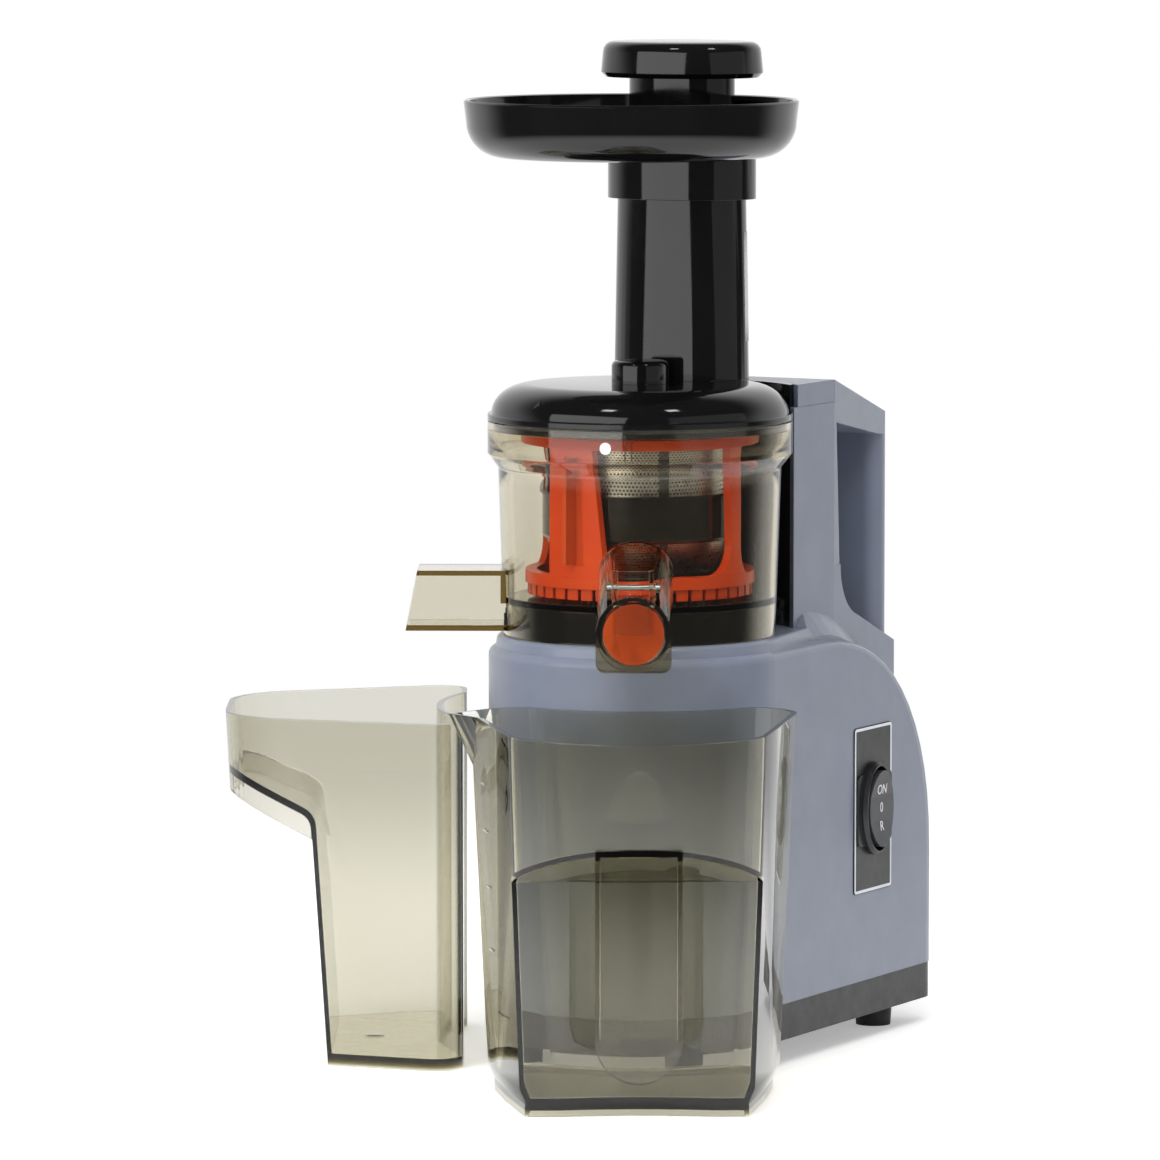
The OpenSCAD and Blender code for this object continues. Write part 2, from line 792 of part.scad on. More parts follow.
module cord_grommet() {
    color(rubber) translate([0, base_back, cord_z]) rotate([90, 0, 0]) difference() {
        union() {
            translate([0, 0, -2]) cylinder(2, r = cord_hole_r + 2);
            cylinder(wall, r = cord_hole_r - 0.1);
            translate([0, 0, wall]) cylinder(3, r = cord_hole_r + 1.4);
        }
        translate([0, 0, -5]) cylinder(20, r = 3.6);
    }
}

module run_capacitor() {
    can_h = stack_h + 10;
    color(steel) translate([0, -22, floor_in]) {
        cylinder(can_h, r = 0.42 * motor_half);
        for (x = [-6, 6]) translate([x - 3, -0.4, can_h]) cube([6, 0.8, 7]);
    }
}

// ---- motor ----

module motor_stator() {
    color("#8b8f96") translate([0, motor_y, stack_low]) linear_extrude(stack_h) difference() {
        round_rect(2 * motor_half, 2 * motor_half, 8);
        circle(d = rotor_d + 1);
        for (x = [-1, 1], y = [-1, 1])
            translate([x * bolt_at, y * bolt_at]) circle(d = bolt_d + 0.4);
        for (i = [0:11]) rotate(i * 30 + 15) translate([rotor_d / 2 + 4.5, 0]) circle(2.4);
    }
}

module motor_windings() {
    color("#b5672b") translate([0, motor_y, 0]) for (z = [stack_low - winding_h, stack_top])
        translate([0, 0, z]) rotate_extrude() translate([rotor_d / 2 + 2.5, 0]) {
            square([9, winding_h]);
            translate([0, 2]) square([11, winding_h - 4]);
        }
}

// End bracket: plate on four legs with a bush housing in the middle
module motor_end(z, leg_z, leg_h) {
    color("#9a9da3") difference() {
        union() {
            translate([0, motor_y, z]) linear_extrude(end_plate)
                round_rect(2 * motor_half, 2 * motor_half, 8);
            translate([0, motor_y, z - 2]) cylinder(end_plate + 4, r = motor_shaft_d / 2 + 6);
            for (x = [-1, 1], y = [-1, 1])
                translate([x * bolt_at, motor_y + y * bolt_at, leg_z]) cylinder(leg_h, r = 5);
        }
        translate([0, motor_y, z - 10]) cylinder(30, r = motor_shaft_d / 2 + 3);
        for (x = [-1, 1], y = [-1, 1])
            translate([x * bolt_at, motor_y + y * bolt_at, 0]) cylinder(200, d = bolt_d + 0.4);
        for (i = [0:7]) rotate_about(motor_y, i * 45 + 22.5)
            translate([21, 0, z - 1]) linear_extrude(end_plate + 2) round_rect(16, 7, 3.4);
    }
}

module rotate_about(y, angle) {
    translate([0, y, 0]) rotate([0, 0, angle]) children();
}

module motor_end_upper() {
    motor_end(upper_plate_z, stack_top, upper_plate_z - stack_top + 1);
}

module motor_end_lower() {
    motor_end(lower_plate_z, lower_plate_z + 1, stack_low - lower_plate_z - 1);
}

module motor_bushes() {
    color("#b08d57") for (z = [lower_plate_z - 2, upper_plate_z - 2])
        translate([0, motor_y, z])
            ring(motor_shaft_d / 2 + 2.95, motor_shaft_d / 2 + running_fit, end_plate + 4);
}

module motor_bolts() {
    color(steel) for (x = [-1, 1], y = [-1, 1])
        translate([x * bolt_at, motor_y + y * bolt_at, lower_plate_z - 3]) {
            cylinder(3, d = bolt_d + 3);
            cylinder(case_low + case_wall - lower_plate_z + 2, d = bolt_d);
        }
}

module rotor_core() {
    color("#8b8f96") translate([0, motor_y, stack_low]) ring(rotor_d / 2, motor_shaft_d / 2 + 0.02, stack_h);
}

module rotor_shaft() {
    color(steel) translate([0, motor_y, fan_z - 2]) {
        cylinder(wheel_z - 1 - fan_z + 2, d = motor_shaft_d);
        cylinder(wheel_z + wheel_h + 2 - fan_z + 2, r = pinion_bore_r);
    }
}

pinion_bore_r = 2.6;

module motor_pinion() {
    color(steel) translate([0, motor_y, wheel_z - 1])
        difference() {
            gear(pinion_teeth, fast_module, wheel_h + 2, gap_at(pinion_teeth, -90));
            translate([0, 0, -1]) cylinder(wheel_h + 4, r = pinion_bore_r + 0.02);
        }
}

module cooling_fan() {
    color("#3d3e42") translate([0, motor_y, fan_z]) {
        ring(10, motor_shaft_d / 2 + 0.02, fan_h);
        ring(fan_r, 9, 1.6);
        for (i = [0:10]) rotate([0, 0, i * 360 / 11]) translate([9, -0.8, 0])
            cube([fan_r - 10, 1.6, fan_h - 1]);
    }
}

// ---- gearbox ----

module case_plan(inset) {
    half = case_half - inset;
    translate([-half, case_front + inset]) square([2 * half, case_back - case_front - 2 * inset]);
}

module gearbox_case() {
    color("#9a9da3") difference() {
        union() {
            translate([0, 0, case_low]) linear_extrude(case_top - case_low) case_plan(0);
            for (x = [-1, 1], y = [-1, 1])
                translate([x * bolt_at, motor_y + y * bolt_at, upper_plate_z + end_plate])
                    cylinder(case_low - upper_plate_z - end_plate + 1, r = 5);
            translate([0, 0, case_low - 6]) cylinder(8, r = bush_r + 3);
        }
        difference() {
            translate([0, 0, case_in]) linear_extrude(case_top) case_plan(case_wall);
            for (p = lid_screws) translate([p[0], p[1], 0]) cylinder(case_top, r = 4.4);
        }
        for (p = lid_screws) translate([p[0], p[1], case_in + 10]) cylinder(60, r = 1.5);
        translate([0, 0, case_low - 3]) cylinder(20, r = bush_r + 0.02);
        translate([0, motor_y, case_low - 1]) cylinder(10, r = motor_shaft_d / 2 + 2);
        translate([0, compound_y, case_low - 1]) cylinder(10, r = axle_r + 0.02);
        for (x = [-1, 1], y = [-1, 1])
            translate([x * bolt_at, motor_y + y * bolt_at, 90]) cylinder(60, d = bolt_d + 0.4);
    }
}

lid_screws = [[-case_half + 4.4, case_front + 4.4], [case_half - 4.4, case_front + 4.4],
    [-case_half + 4.4, case_back - 4.4], [case_half - 4.4, case_back - 4.4]];
axle_r = 3;

module gearbox_lid() {
    color("#9a9da3") difference() {
        union() {
            translate([0, 0, case_top]) linear_extrude(lid_plate) case_plan(0);
            translate([0, 0, case_top]) cylinder(deck_z - case_top, r = neck_bore - 0.6);
        }
        translate([0, 0, case_top - 1]) cylinder(60, r = bush_r + 0.02);
        translate([0, compound_y, case_top - 1]) cylinder(3, r = axle_r + 0.02);
        for (p = lid_screws) translate([p[0], p[1], case_top - 1]) cylinder(10, r = 1.8);
        for (x = [-1, 1], y = post_y) translate([x * post_x, y, case_top - 1]) cylinder(10, r = 1.8);
    }
}

module gearbox_screws() {
    color(steel) for (p = lid_screws) translate([p[0], p[1], gearbox_top - 12]) {
        cylinder(12, r = 1.45);
        translate([0, 0, 12]) cylinder(2, r = 2.9);
    }
}

module compound_axle() {
    color(steel) translate([0, compound_y, case_low]) cylinder(case_top + 2 - case_low, r = axle_r);
}

module compound_gear() {
    color("#d9d4c4") translate([0, compound_y, 0]) difference() {
        union() {
            translate([0, 0, wheel_z]) gear(wheel_teeth, fast_module, wheel_h, 90);
            translate([0, 0, wheel_z]) gear(small_teeth, slow_module, slow_z + slow_h - wheel_z,
                gap_at(small_teeth, -90), 0.9, 1.15);
        }
        translate([0, 0, wheel_z - 1]) cylinder(60, r = axle_r + running_fit);
        for (i = [0:5]) rotate([0, 0, i * 60]) translate([19, 0, wheel_z - 1]) cylinder(wheel_h + 2, r = 5);
    }
}

module output_gear() {
    color("#d9d4c4") translate([0, 0, slow_z]) difference() {
        gear(output_teeth, slow_module, slow_h, 90);
        translate([0, 0, -1]) hex_rod(hex_flats + 0.05, slow_h + 2);
        for (i = [0:5]) rotate([0, 0, i * 60 + 30]) translate([20, 0, -1]) cylinder(slow_h + 2, r = 6.5);
    }
}

module output_shaft() {
    color(steel) {
        translate([0, 0, case_low - 3]) cylinder(slow_z - case_low + 3, d = hex_flats - 0.2);
        translate([0, 0, slow_z]) hex_rod(hex_flats, slow_h);
        translate([0, 0, slow_z + slow_h]) cylinder(deck_z + 6 - slow_z - slow_h, d = hex_flats - 0.2);
        translate([0, 0, deck_z + 6]) hex_rod(hex_flats, shaft_top - deck_z - 6);
    }
}

module output_bushes() {
    inner = hex_flats / 2 - 0.1 + running_fit;
    color("#b08d57") {
        translate([0, 0, case_low - 3]) ring(bush_r, inner, 8);
        translate([0, 0, case_top]) ring(bush_r, inner, deck_z - case_top + 2);
    }
}

module shaft_seal() {
    color(rubber) translate([0, 0, deck_z + 7]) ring(bush_r, hex_flats / 2 / cos(30) + 0.3, 5);
}

// ---- bowl ----

function bowl_outline() = concat(
    [[bowl_foot_r, deck_z + 0.2], [bowl_r, rim_low_z - 7]],
    arc(bowl_r + 3, rim_low_z - 7, 3, 3, 180, 130, 3),
    [[rim_r - 0.8, rim_low_z - 1], [rim_r, rim_low_z], [rim_r, rim_z],
     [rim_r - bowl_wall, rim_z], [rim_r - bowl_wall, ledge_z], [rim_r - bowl_wall - 1.6, ledge_z],
     [rim_r - bowl_wall - 1.6, rim_low_z + 1], [bowl_r - bowl_wall, rim_low_z - 6],
     [bowl_foot_r - bowl_wall, floor_z + 4], [bowl_foot_r - bowl_wall, deck_z + 0.2]]);

// Duct of the pulp chute, drawn in by a margin, from an inner to an outer distance
module chute_block(inset, from, to, roof) {
    rotate([90, 0, 0]) translate([-chute_w / 2 + inset, chute_low + inset, from])
        linear_extrude(to - from) square([chute_w - 2 * inset, roof - chute_low - 2 * inset]);
}

module outlet_shape(inset, start) {
    hull() {
        translate([0, -start, bulge_z]) rotate([90, 0, 0])
            cylinder(eps, r = bulge_r - inset, $fn = 40);
        translate([0, -outlet_reach + 8, outlet_z]) rotate([90, 0, 0])
            cylinder(8 + (inset > 0 ? 1 : 0), r = bulge_r - inset, $fn = 40);
    }
}

module bowl() {
    inner_r = bowl_foot_r - bowl_wall;
    color(smoke) difference() {
        union() {
            rotate_extrude() polygon(bowl_outline());
            translate([0, 0, seat_z]) cylinder(bowl_floor, r = inner_r + 1);
            translate([0, 0, seat_z]) cylinder(gear_top - seat_z, r = hub_r);
            facing(chute_angle) {
                chute_block(0, well_in - 1.5, chute_reach, seat_z + bowl_floor);
                chute_block(0, inner_r + 0.5, chute_reach, chute_roof);
                // well that the pulp drops through
                translate([-well_half - 1.5, -well_out - 1.5, seat_z])
                    cube([2 * well_half + 3, well_out - well_in + 3, gear_top + 1 - seat_z]);
            }
            difference() {
                facing(outlet_angle) {
                    outlet_shape(0, bowl_foot_r - 1);
                    // square lower lip of the outlet
                    translate([0, -outlet_reach + 10, 0]) rotate([90, 0, 0]) linear_extrude(10)
                        translate([0, outlet_z - bulge_r / 2 - 0.25])
                            round_rect(outlet_d, bulge_r + 0.5, 4);
                }
                cylinder(400, r = inner_r + 0.6);
            }
            // ears that hold the cap's hinge pin
            facing(outlet_angle) for (x = [-1, 1])
                translate([x * (ear_x + 1), 0, 0]) across(2)
                    polygon([[-outlet_reach + 8, outlet_z + 10], [-outlet_reach, outlet_z + 10],
                        [-outlet_reach, outlet_z + bulge_r - 1.5],
                        [-cap_hinge_r - 2.2, cap_hinge_z - 2], [-cap_hinge_r - 2.2, cap_hinge_z + 2],
                        [-cap_hinge_r + 2.4, cap_hinge_z + 2]]);
        }
        translate([0, 0, deck_z]) cylinder(60, r = hub_bore);
        facing(chute_angle) {
            chute_block(duct_wall, well_in, chute_reach + 5, seat_z + duct_wall);
            chute_block(duct_wall, inner_r + 3, chute_reach + 5, chute_roof);
            translate([-well_half, -well_out, chute_low + duct_wall])
                cube([2 * well_half, well_out - well_in, 60]);
            // slanted end of the chute
            translate([0, -chute_reach, chute_low]) rotate([-11, 0, 0])
                translate([-chute_w, -20, -20]) cube([2 * chute_w, 20, 80]);
        }
        facing(outlet_angle) {
            outlet_shape(2.3, inner_r - 2);
            translate([-20, -cap_hinge_r, cap_hinge_z]) rotate([0, 90, 0]) cylinder(40, r = pin_r + 0.02);
        }
        translate(idler_place(seat_z - 1)) cylinder(8, r = idler_pin_r + 0.02);
    }
}

ear_x = 8.9;
pin_r = 1.2;
idler_pin_r = 3;

function idler_place(z) = [idler_at * cos(idler_angle), idler_at * sin(idler_angle), z];

module hub_seal() {
    color("#9a3b1c") translate([0, 0, gear_top - 3])
        ring(hub_bore, hex_flats / 2 / cos(30) + 0.35, 3);
}

module pulp_plug() {
    color(rubber) facing(chute_angle)
        translate([-chute_w / 2 + duct_wall + 0.2, -bowl_foot_r + 0.5, chute_low + duct_wall])
            difference() {
                cube([chute_w - 2 * duct_wall - 0.4, 4, 5]);
                translate([3, -1, 1.2]) cube([chute_w - 2 * duct_wall - 6.4, 6, 5]);
            }
}

module idler_pin() {
    color(steel) translate(idler_place(seat_z)) {
        cylinder(gear_top - seat_z, r = idler_pin_r);
        translate([0, 0, gear_top - seat_z]) cylinder(1.2, r = idler_pin_r + 1.6);
    }
}

module idler_gear() {
    color("#d9d4c4") translate(idler_place(gear_z)) difference() {
        gear(idler_teeth, brush_module, brush_gear_h - 0.2, gap_at(idler_teeth, idler_angle + 180),
            0.8, 1.1);
        translate([0, 0, -1]) cylinder(20, r = idler_pin_r + running_fit);
    }
}

module cap_pin() {
    color(steel) facing(outlet_angle) translate([-ear_x - 2, -cap_hinge_r, cap_hinge_z])
        rotate([0, 90, 0]) cylinder(2 * ear_x + 4, r = pin_r);
}

lever_w = 16.6;
lever_top = 216.5;

module juice_cap() {
    face = outlet_reach + cap_gap;
    color(smoke) facing(outlet_angle) difference() {
        union() {
            translate([0, -face, outlet_z]) rotate([90, 0, 0]) cylinder(cap_t, r = bulge_r);
            // channel shaped lever over the hinge
            for (x = [-1, 1]) translate([x * (lever_w / 2 - 0.9), 0, 0]) across(1.8)
                polygon([[-face, outlet_z], [-face, cap_hinge_z - 3], [-cap_hinge_r + 2, cap_hinge_z - 1],
                    [-cap_hinge_r + 2, lever_top], [-cap_hinge_r - 3.4, lever_top],
                    [-face - cap_t - 2.6, outlet_z]]);
            across(lever_w - 1)
                polygon([[-face - cap_t - 1, outlet_z], [-cap_hinge_r - 1.8, cap_hinge_z + 3],
                    [-cap_hinge_r - 1.8, lever_top], [-cap_hinge_r - 3.4, lever_top],
                    [-face - cap_t - 2.6, outlet_z]]);
        }
        translate([-20, -cap_hinge_r, cap_hinge_z]) rotate([0, 90, 0])
            cylinder(40, r = pin_r + running_fit);
    }
}

module juice_cap_seal() {
    color(orange) facing(outlet_angle) translate([0, -outlet_reach - cap_gap, outlet_z])
        rotate([-90, 0, 0]) {
            cylinder(1.2, r = bulge_r - 2.3 - 0.7);
            cylinder(3, r = bulge_r - 2.3 - 1.4);
        }
}

// ---- strainer, brush and auger ----

module strainer_frame() {
    top_r = mesh_top_r;
    color("#4a463c") {
        difference() {
            union() {
                // top flange, middle band, foot ring
                translate([0, 0, flange_z]) ring(flange_r, top_r - 2, flange_h);
                translate([0, 0, flange_z - 3]) ring(top_r + 1.8, top_r - 0.4, 3.5);
                rotate_extrude() polygon([[band_r - 3, band_low_z], [band_r - 1, band_low_z],
                    [band_r, band_low_z + 1.5], [band_r, band_top_z - 1], [band_r + 1.2, band_top_z - 1],
                    [band_r + 1.2, band_top_z], [band_r - 3, band_top_z]]);
                translate([0, 0, strainer_floor_z])
                    ring(strainer_foot_r + 1.4, strainer_hole_r, strainer_base_t);
                translate([0, 0, strainer_floor_z])
                    ring(strainer_foot_r + 1.4, strainer_foot_r - 0.6, 3.5);
                // ribs of the upper and lower windows
                for (i = [0:3]) rotate([0, 0, i * 90 + rib_angle]) {
                    translate([top_r - 0.4, -2, band_top_z - 1])
                        cube([1.8, 4, flange_z - band_top_z]);
                    rib_lower();
                }
            }
            facing(chute_angle) translate([-well_half - 1.9, -well_out - 2, strainer_floor_z - 1])
                cube([2 * well_half + 3.8, well_out - strainer_hole_r + 4, 3]);
        }
    }
}

rib_angle = -48;

// One rib of the lower window, along the cone
module rib_lower() {
    rotate([90, 0, 0]) translate([0, 0, -1.5]) linear_extrude(3)
        polygon([[strainer_foot_r + 0.5, strainer_floor_z + 2], [strainer_foot_r + 1.7, strainer_floor_z + 2],
            [band_r - 0.8, band_low_z + 1], [band_r - 1.9, band_low_z + 1]]);
}

module strainer_mesh_upper() {
    color(steel) translate([0, 0, band_top_z])
        ring(mesh_top_r - 0.45, mesh_top_r - 0.45 - sheet, flange_z - band_top_z);
}

module strainer_mesh_lower() {
    low_z = strainer_floor_z + 3.5;
    color(steel) rotate_extrude() polygon([[strainer_foot_r + 0.1, low_z],
        [band_r - 2.6, band_low_z], [band_r - 2.6 - sheet, band_low_z],
        [strainer_foot_r + 0.1 - sheet, low_z]]);
}

ring_tip_r = ring_r - 0.7 * brush_module;
brush_out = ring_r + 4.2;
ring_low = gear_top + 0.2;
brush_ring_top = flange_z - 1.4;
arm_angles = [-97, 83];
slim_angles = [-7, 173];

module brush_frame() {
    color(orange) {
        translate([0, 0, ring_low]) ring(brush_out, ring_tip_r + 0.6, ring_plate_h);
        translate([0, 0, brush_ring_top - 5]) ring(brush_top_r, brush_top_r - 3.4, 5);
        for (i = [0:ring_teeth - 1]) rotate([0, 0, idler_angle + i * 360 / ring_teeth])
            translate([0, 0, gear_z + 0.2]) linear_extrude(brush_gear_h + 0.1)
                polygon([for (side = [-1, 1], k = [0:4])
                    let (j = side < 0 ? k : 4 - k, r = ring_tip_r + (brush_out - 1 - ring_tip_r) * j / 4,
                         held = min(r, ring_r + 1.1 * brush_module))
                    polar(r, side * ring_tooth_half(ring_teeth, brush_module, held))]);
        for (a = arm_angles) rotate([0, 0, a]) brush_wide_arm();
        for (a = slim_angles) rotate([0, 0, a]) brush_slim_arm();
    }
}

slot_from = ring_low + 10;
slot_to = brush_ring_top - 9;
blade_seat = band_r + 4.2;

// Slot of a wide arm, drawn in by a margin
function blade_slot(inset) = [[-5 + inset, slot_from + inset], [4.5 - inset, slot_from + inset],
    [3 - inset, slot_to - inset], [-5 + inset, slot_to - inset]];

module across_arm() {
    rotate([90, 0, 90]) linear_extrude(20) children();
}

// Wide arm: two posts joined by cross bars, with a slot that holds the blade
module brush_wide_arm() {
    low = ring_low + 1;
    high = brush_ring_top - 1;
    intersection() {
        ring_zone(brush_out - 0.4, band_r + 3.4, low, high);
        translate([band_r, 0, 0]) across_arm() difference() {
            polygon([[-13.5, low], [14.5, low], [8, high], [-13.5, high]]);
            polygon(blade_slot(0));
        }
    }
}

// Slim arm that flares at its foot
module brush_slim_arm() {
    low = ring_low + 1;
    high = brush_ring_top - 1;
    intersection() {
        ring_zone(brush_out - 0.4, band_r + 3.4, low, high);
        translate([band_r, 0, 0]) across_arm()
            polygon(concat([[-4.5, high], [-3.4, low + 30]],
                arc(-14, low + 16, 11, 12, 0, -90, 6), [[-14, low], [10, low]],
                arc(10, low + 16, 6, 12, 270, 180, 6),
                [[4.2, low + 30], [4.5, high]]));
    }
}

module ring_zone(outer, inner, low, high) {
    translate([0, 0, low]) ring(outer, inner, high - low);
}

module brush_blades() {
    color("#e8703a") for (a = arm_angles) rotate([0, 0, a]) {
        intersection() {
            ring_zone(blade_seat + 1.6, blade_seat, slot_from, slot_to);
            translate([band_r, 0, 0]) across_arm() polygon(blade_slot(0.05));
        }
        translate([band_r + 1.4, -1, slot_from + 0.5])
            cube([bowl_foot_r - bowl_wall - band_r - 2.4, 1.6, slot_to - slot_from - 1]);
    }
}

// Helical outer surface of the auger as a height field over angle and height
function auger_fill(t) = t < 0.1 ? t / 0.1 : t < 0.24 ? 1 : t < 0.4 ? (0.4 - t) / 0.16 : 0;
function auger_turns(s) = 1.1 * s + 3.2 * pow(1 - s, 2);
function fraction(x) = x - floor(x);
function auger_radius(angle, s) =
    let (outside = auger_out_low + (auger_out_high - auger_out_low) * s,
         depth = flight_foot + (flight_top - flight_foot) * pow(s, 0.8),
         fade = min(1, 8 * (1 - s)))
    outside - depth + depth * fade * auger_fill(fraction(angle / 360 + auger_turns(s)));

module auger_screw() {
    cols = 48;
    rows = 36;
    height = auger_high - auger_low;
    outer = [for (j = [0:rows], i = [0:cols - 1]) let (a = 360 * i / cols, s = j / rows)
        concat(polar(auger_radius(a, s), a), [auger_low + height * s])];
    inner = [for (j = [0, 1], i = [0:cols - 1])
        concat(polar(auger_bore, 360 * i / cols), [auger_low + height * j])];
    base = cols * (rows + 1);
    side = [for (j = [0:rows - 1], i = [0:cols - 1], half = [0, 1])
        let (n = (i + 1) % cols, a = j * cols, b = (j + 1) * cols)
        half == 0 ? [a + i, b + i, b + n] : [a + i, b + n, a + n]];
    bore = [for (i = [0:cols - 1], half = [0, 1]) let (n = (i + 1) % cols)
        half == 0 ? [base + i, base + n, base + cols + n] : [base + i, base + cols + n, base + cols + i]];
    ends = [for (i = [0:cols - 1], half = [0, 1], top = [0, 1])
        let (n = (i + 1) % cols, o = top * cols * rows, c = base + top * cols,
             t = half == 0 ? [o + i, o + n, c + n] : [o + i, c + n, c + i])
        top == 0 ? t : [t[2], t[1], t[0]]];
    color("#4a4238") polyhedron(concat(outer, inner), concat(side, bore, ends), convexity = 8);
}

module auger_spindle() {
    color("#3a352d") difference() {
        union() {
            translate([0, 0, gear_top]) cylinder(auger_low - gear_top, r = hub_r + 3);
            translate([0, 0, auger_low - 1]) cylinder(auger_high + 2 - auger_low, r = auger_bore - 0.05);
            translate([0, 0, auger_high + 0.05]) cylinder(3, r = auger_bore + 1);
            translate([0, 0, auger_high]) cylinder(pin_top - auger_high, r = spindle_pin_r);
        }
        translate([0, 0, gear_top - 1]) hex_rod(hex_flats + 0.6, shaft_top + 2 - gear_top);
    }
}

module auger_gear() {
    color("#3a352d") translate([0, 0, gear_z]) difference() {
        gear(auger_teeth, brush_module, brush_gear_h, idler_angle, 0.8, 1.1);
        translate([0, 0, -1]) cylinder(20, r = hub_r + loose_fit);
    }
}

// ---- lid, tray and pusher ----

module lid_seal() {
    color("#5a5a5c") rotate_extrude() polygon([[flange_r - 4, flange_z + flange_h + 0.1],
        [flange_r - 0.3, flange_z + flange_h + 0.1], [flange_r - 0.3, lid_low - 0.1],
        [flange_r - 4, lid_low - 0.1]]);
}

function lid_outline() = concat([[rim_r, lid_low], [rim_r, lid_low + lid_edge_h - 0.4],
     [rim_r - 0.4, lid_low + lid_edge_h], [rim_r - 1.6, lid_low + lid_edge_h]],
    arc(lid_flat_r, lid_low + lid_edge_h, rim_r - 1.6 - lid_flat_r, lid_z - lid_low - lid_edge_h,
        8, 90, 9),
    [[0, lid_z], [0, lid_z - lid_wall], [lid_flat_r - 1, lid_z - lid_wall]],
    arc(lid_flat_r - 1, lid_low + lid_edge_h - 1, rim_r - 4.6 - lid_flat_r,
        lid_z - lid_wall - lid_low - lid_edge_h + 1, 80, 0, 6),
    [[rim_r - 5.6, lid_low]]);

module lid() {
    color(black) difference() {
        union() {
            rotate_extrude() polygon(lid_outline());
            // wall that guides the food into the strainer
            translate([0, 0, flange_z + flange_h + 0.4])
                ring(mesh_top_r + 0.6, mesh_top_r - 2, lid_z - 1 - flange_z - flange_h);
            translate([0, 0, lid_z - 8]) cylinder(boss_z - lid_z + 8 - 2.5, r = boss_r);
            translate([0, 0, boss_z - 2.5]) rotate_extrude()
                polygon(concat([[0, 0]], arc(boss_r - 2.5, 0, 2.5, 2.5, 0, 90, 5), [[0, 2.5]]));
            hull() {
                translate([0, tube_y, lid_z - 1]) linear_extrude(eps)
                    polygon(oval(tube_a + 1.7, tube_b + 1));
                translate([0, tube_y, tube_top]) linear_extrude(eps) polygon(oval(tube_a, tube_b));
            }
        }
        translate([0, tube_y, throat_z]) linear_extrude(200)
            polygon(oval(tube_a - tube_wall, tube_b - tube_wall));
        translate([0, 0, lid_z - 12]) linear_extrude(40) intersection() {
            translate([0, tube_y]) polygon(oval(tube_a - tube_wall - 2, tube_b - tube_wall - 2));
            difference() {
                circle(mesh_top_r - 2);
                circle(boss_r + 1);
            }
        }
        translate([0, 0, lid_z - 20]) cylinder(pin_top + 1 - lid_z + 20, r = spindle_pin_r + 0.3);
    }
}

module feed_tray() {
    low = tray_z;
    color(black) difference() {
        union() {
            translate([0, -tray_y, 0]) rotate_extrude() polygon(concat([[0, low]],
                arc(tray_r - 1 - tray_round, low + tray_round, tray_round, tray_round, 270, 360, 10),
                [[tray_r, low + tray_h - 0.8], [tray_r - 0.8, low + tray_h],
                 [tray_r - tray_wall, low + tray_h - 0.4]],
                arc(tray_r - 1 - tray_round, low + tray_round, tray_round - tray_wall,
                    tray_round - tray_wall, 360, 270, 10), [[0, low + tray_wall]]));
            translate([0, tube_y, collar_low]) linear_extrude(low + 1 - collar_low)
                polygon(oval(collar_a, collar_b));
            translate([0, tube_y, low]) linear_extrude(tray_wall + 2)
                polygon(oval(tube_a + 1, tube_b + 1));
        }
        translate([0, tube_y, collar_low - 1]) linear_extrude(tube_top + 0.4 - collar_low + 1)
            polygon(oval(tube_a + loose_fit + 0.3, tube_b + loose_fit + 0.3));
        translate([0, tube_y, collar_low]) linear_extrude(60)
            polygon(oval(tube_a - tube_wall, tube_b - tube_wall));
    }
}

module pusher_stem() {
    color(black) translate([0, tube_y, 0]) difference() {
        union() {
            translate([0, 0, throat_z]) linear_extrude(neck_z - throat_z)
                polygon(oval(pusher_a, pusher_b));
            translate([0, 0, neck_z]) linear_extrude(pusher_top - pusher_cap_h - neck_z)
                polygon(oval(neck_a, neck_b));
        }
        translate([0, 0, throat_z + 3]) linear_extrude(200)
            polygon(oval(neck_a - 2.4, neck_b - 2.4));
    }
}

module pusher_cap() {
    low = pusher_top - pusher_cap_h;
    color(black) translate([0, tube_y, 0]) {
        hull() {
            translate([0, 0, low]) linear_extrude(eps) polygon(oval(cap_a - 2, cap_b - 2));
            translate([0, 0, low + 2]) linear_extrude(eps) polygon(oval(cap_a, cap_b));
            for (i = [0:4]) let (q = 22.5 * i)
                translate([0, 0, pusher_top - 4.5 + 4.5 * sin(q) - eps]) linear_extrude(eps)
                    polygon(oval(cap_a - 0.8 - 4.5 * (1 - cos(q)), cap_b - 0.8 - 4.5 * (1 - cos(q))));
        }
        translate([0, 0, low - 8]) linear_extrude(8 + eps)
            polygon(oval(neck_a - 2.6, neck_b - 2.6));
    }
}

// ---- juice jug ----

// Plan of the jug, drawn in by a margin: a round nose between two flat cheeks, and the rear
// corners. The cheeks are cheek away from the middle at the distance front.
module jug_plan(inset, half, reach, cheek, front, rear_y) {
    intersection() {
        translate([0, nose_r - reach]) circle(nose_r - inset, $fn = 64);
        polygon([for (p = [[-1, -40], [1, -40], [1, 70], [-1, 70]])
            [p[0] * (cheek - inset + p[1] * cheek_slope), -front + p[1]]]);
    }
    for (x = [-1, 1]) translate([x * (half - jug_corner_r), rear_y])
        circle(jug_corner_r - inset, $fn = 48);
}

module jug_foot_plan(inset) {
    jug_plan(inset, jug_foot_half, panel_reach + nose_depth, cheek_foot, panel_reach, jug_corner_y);
}

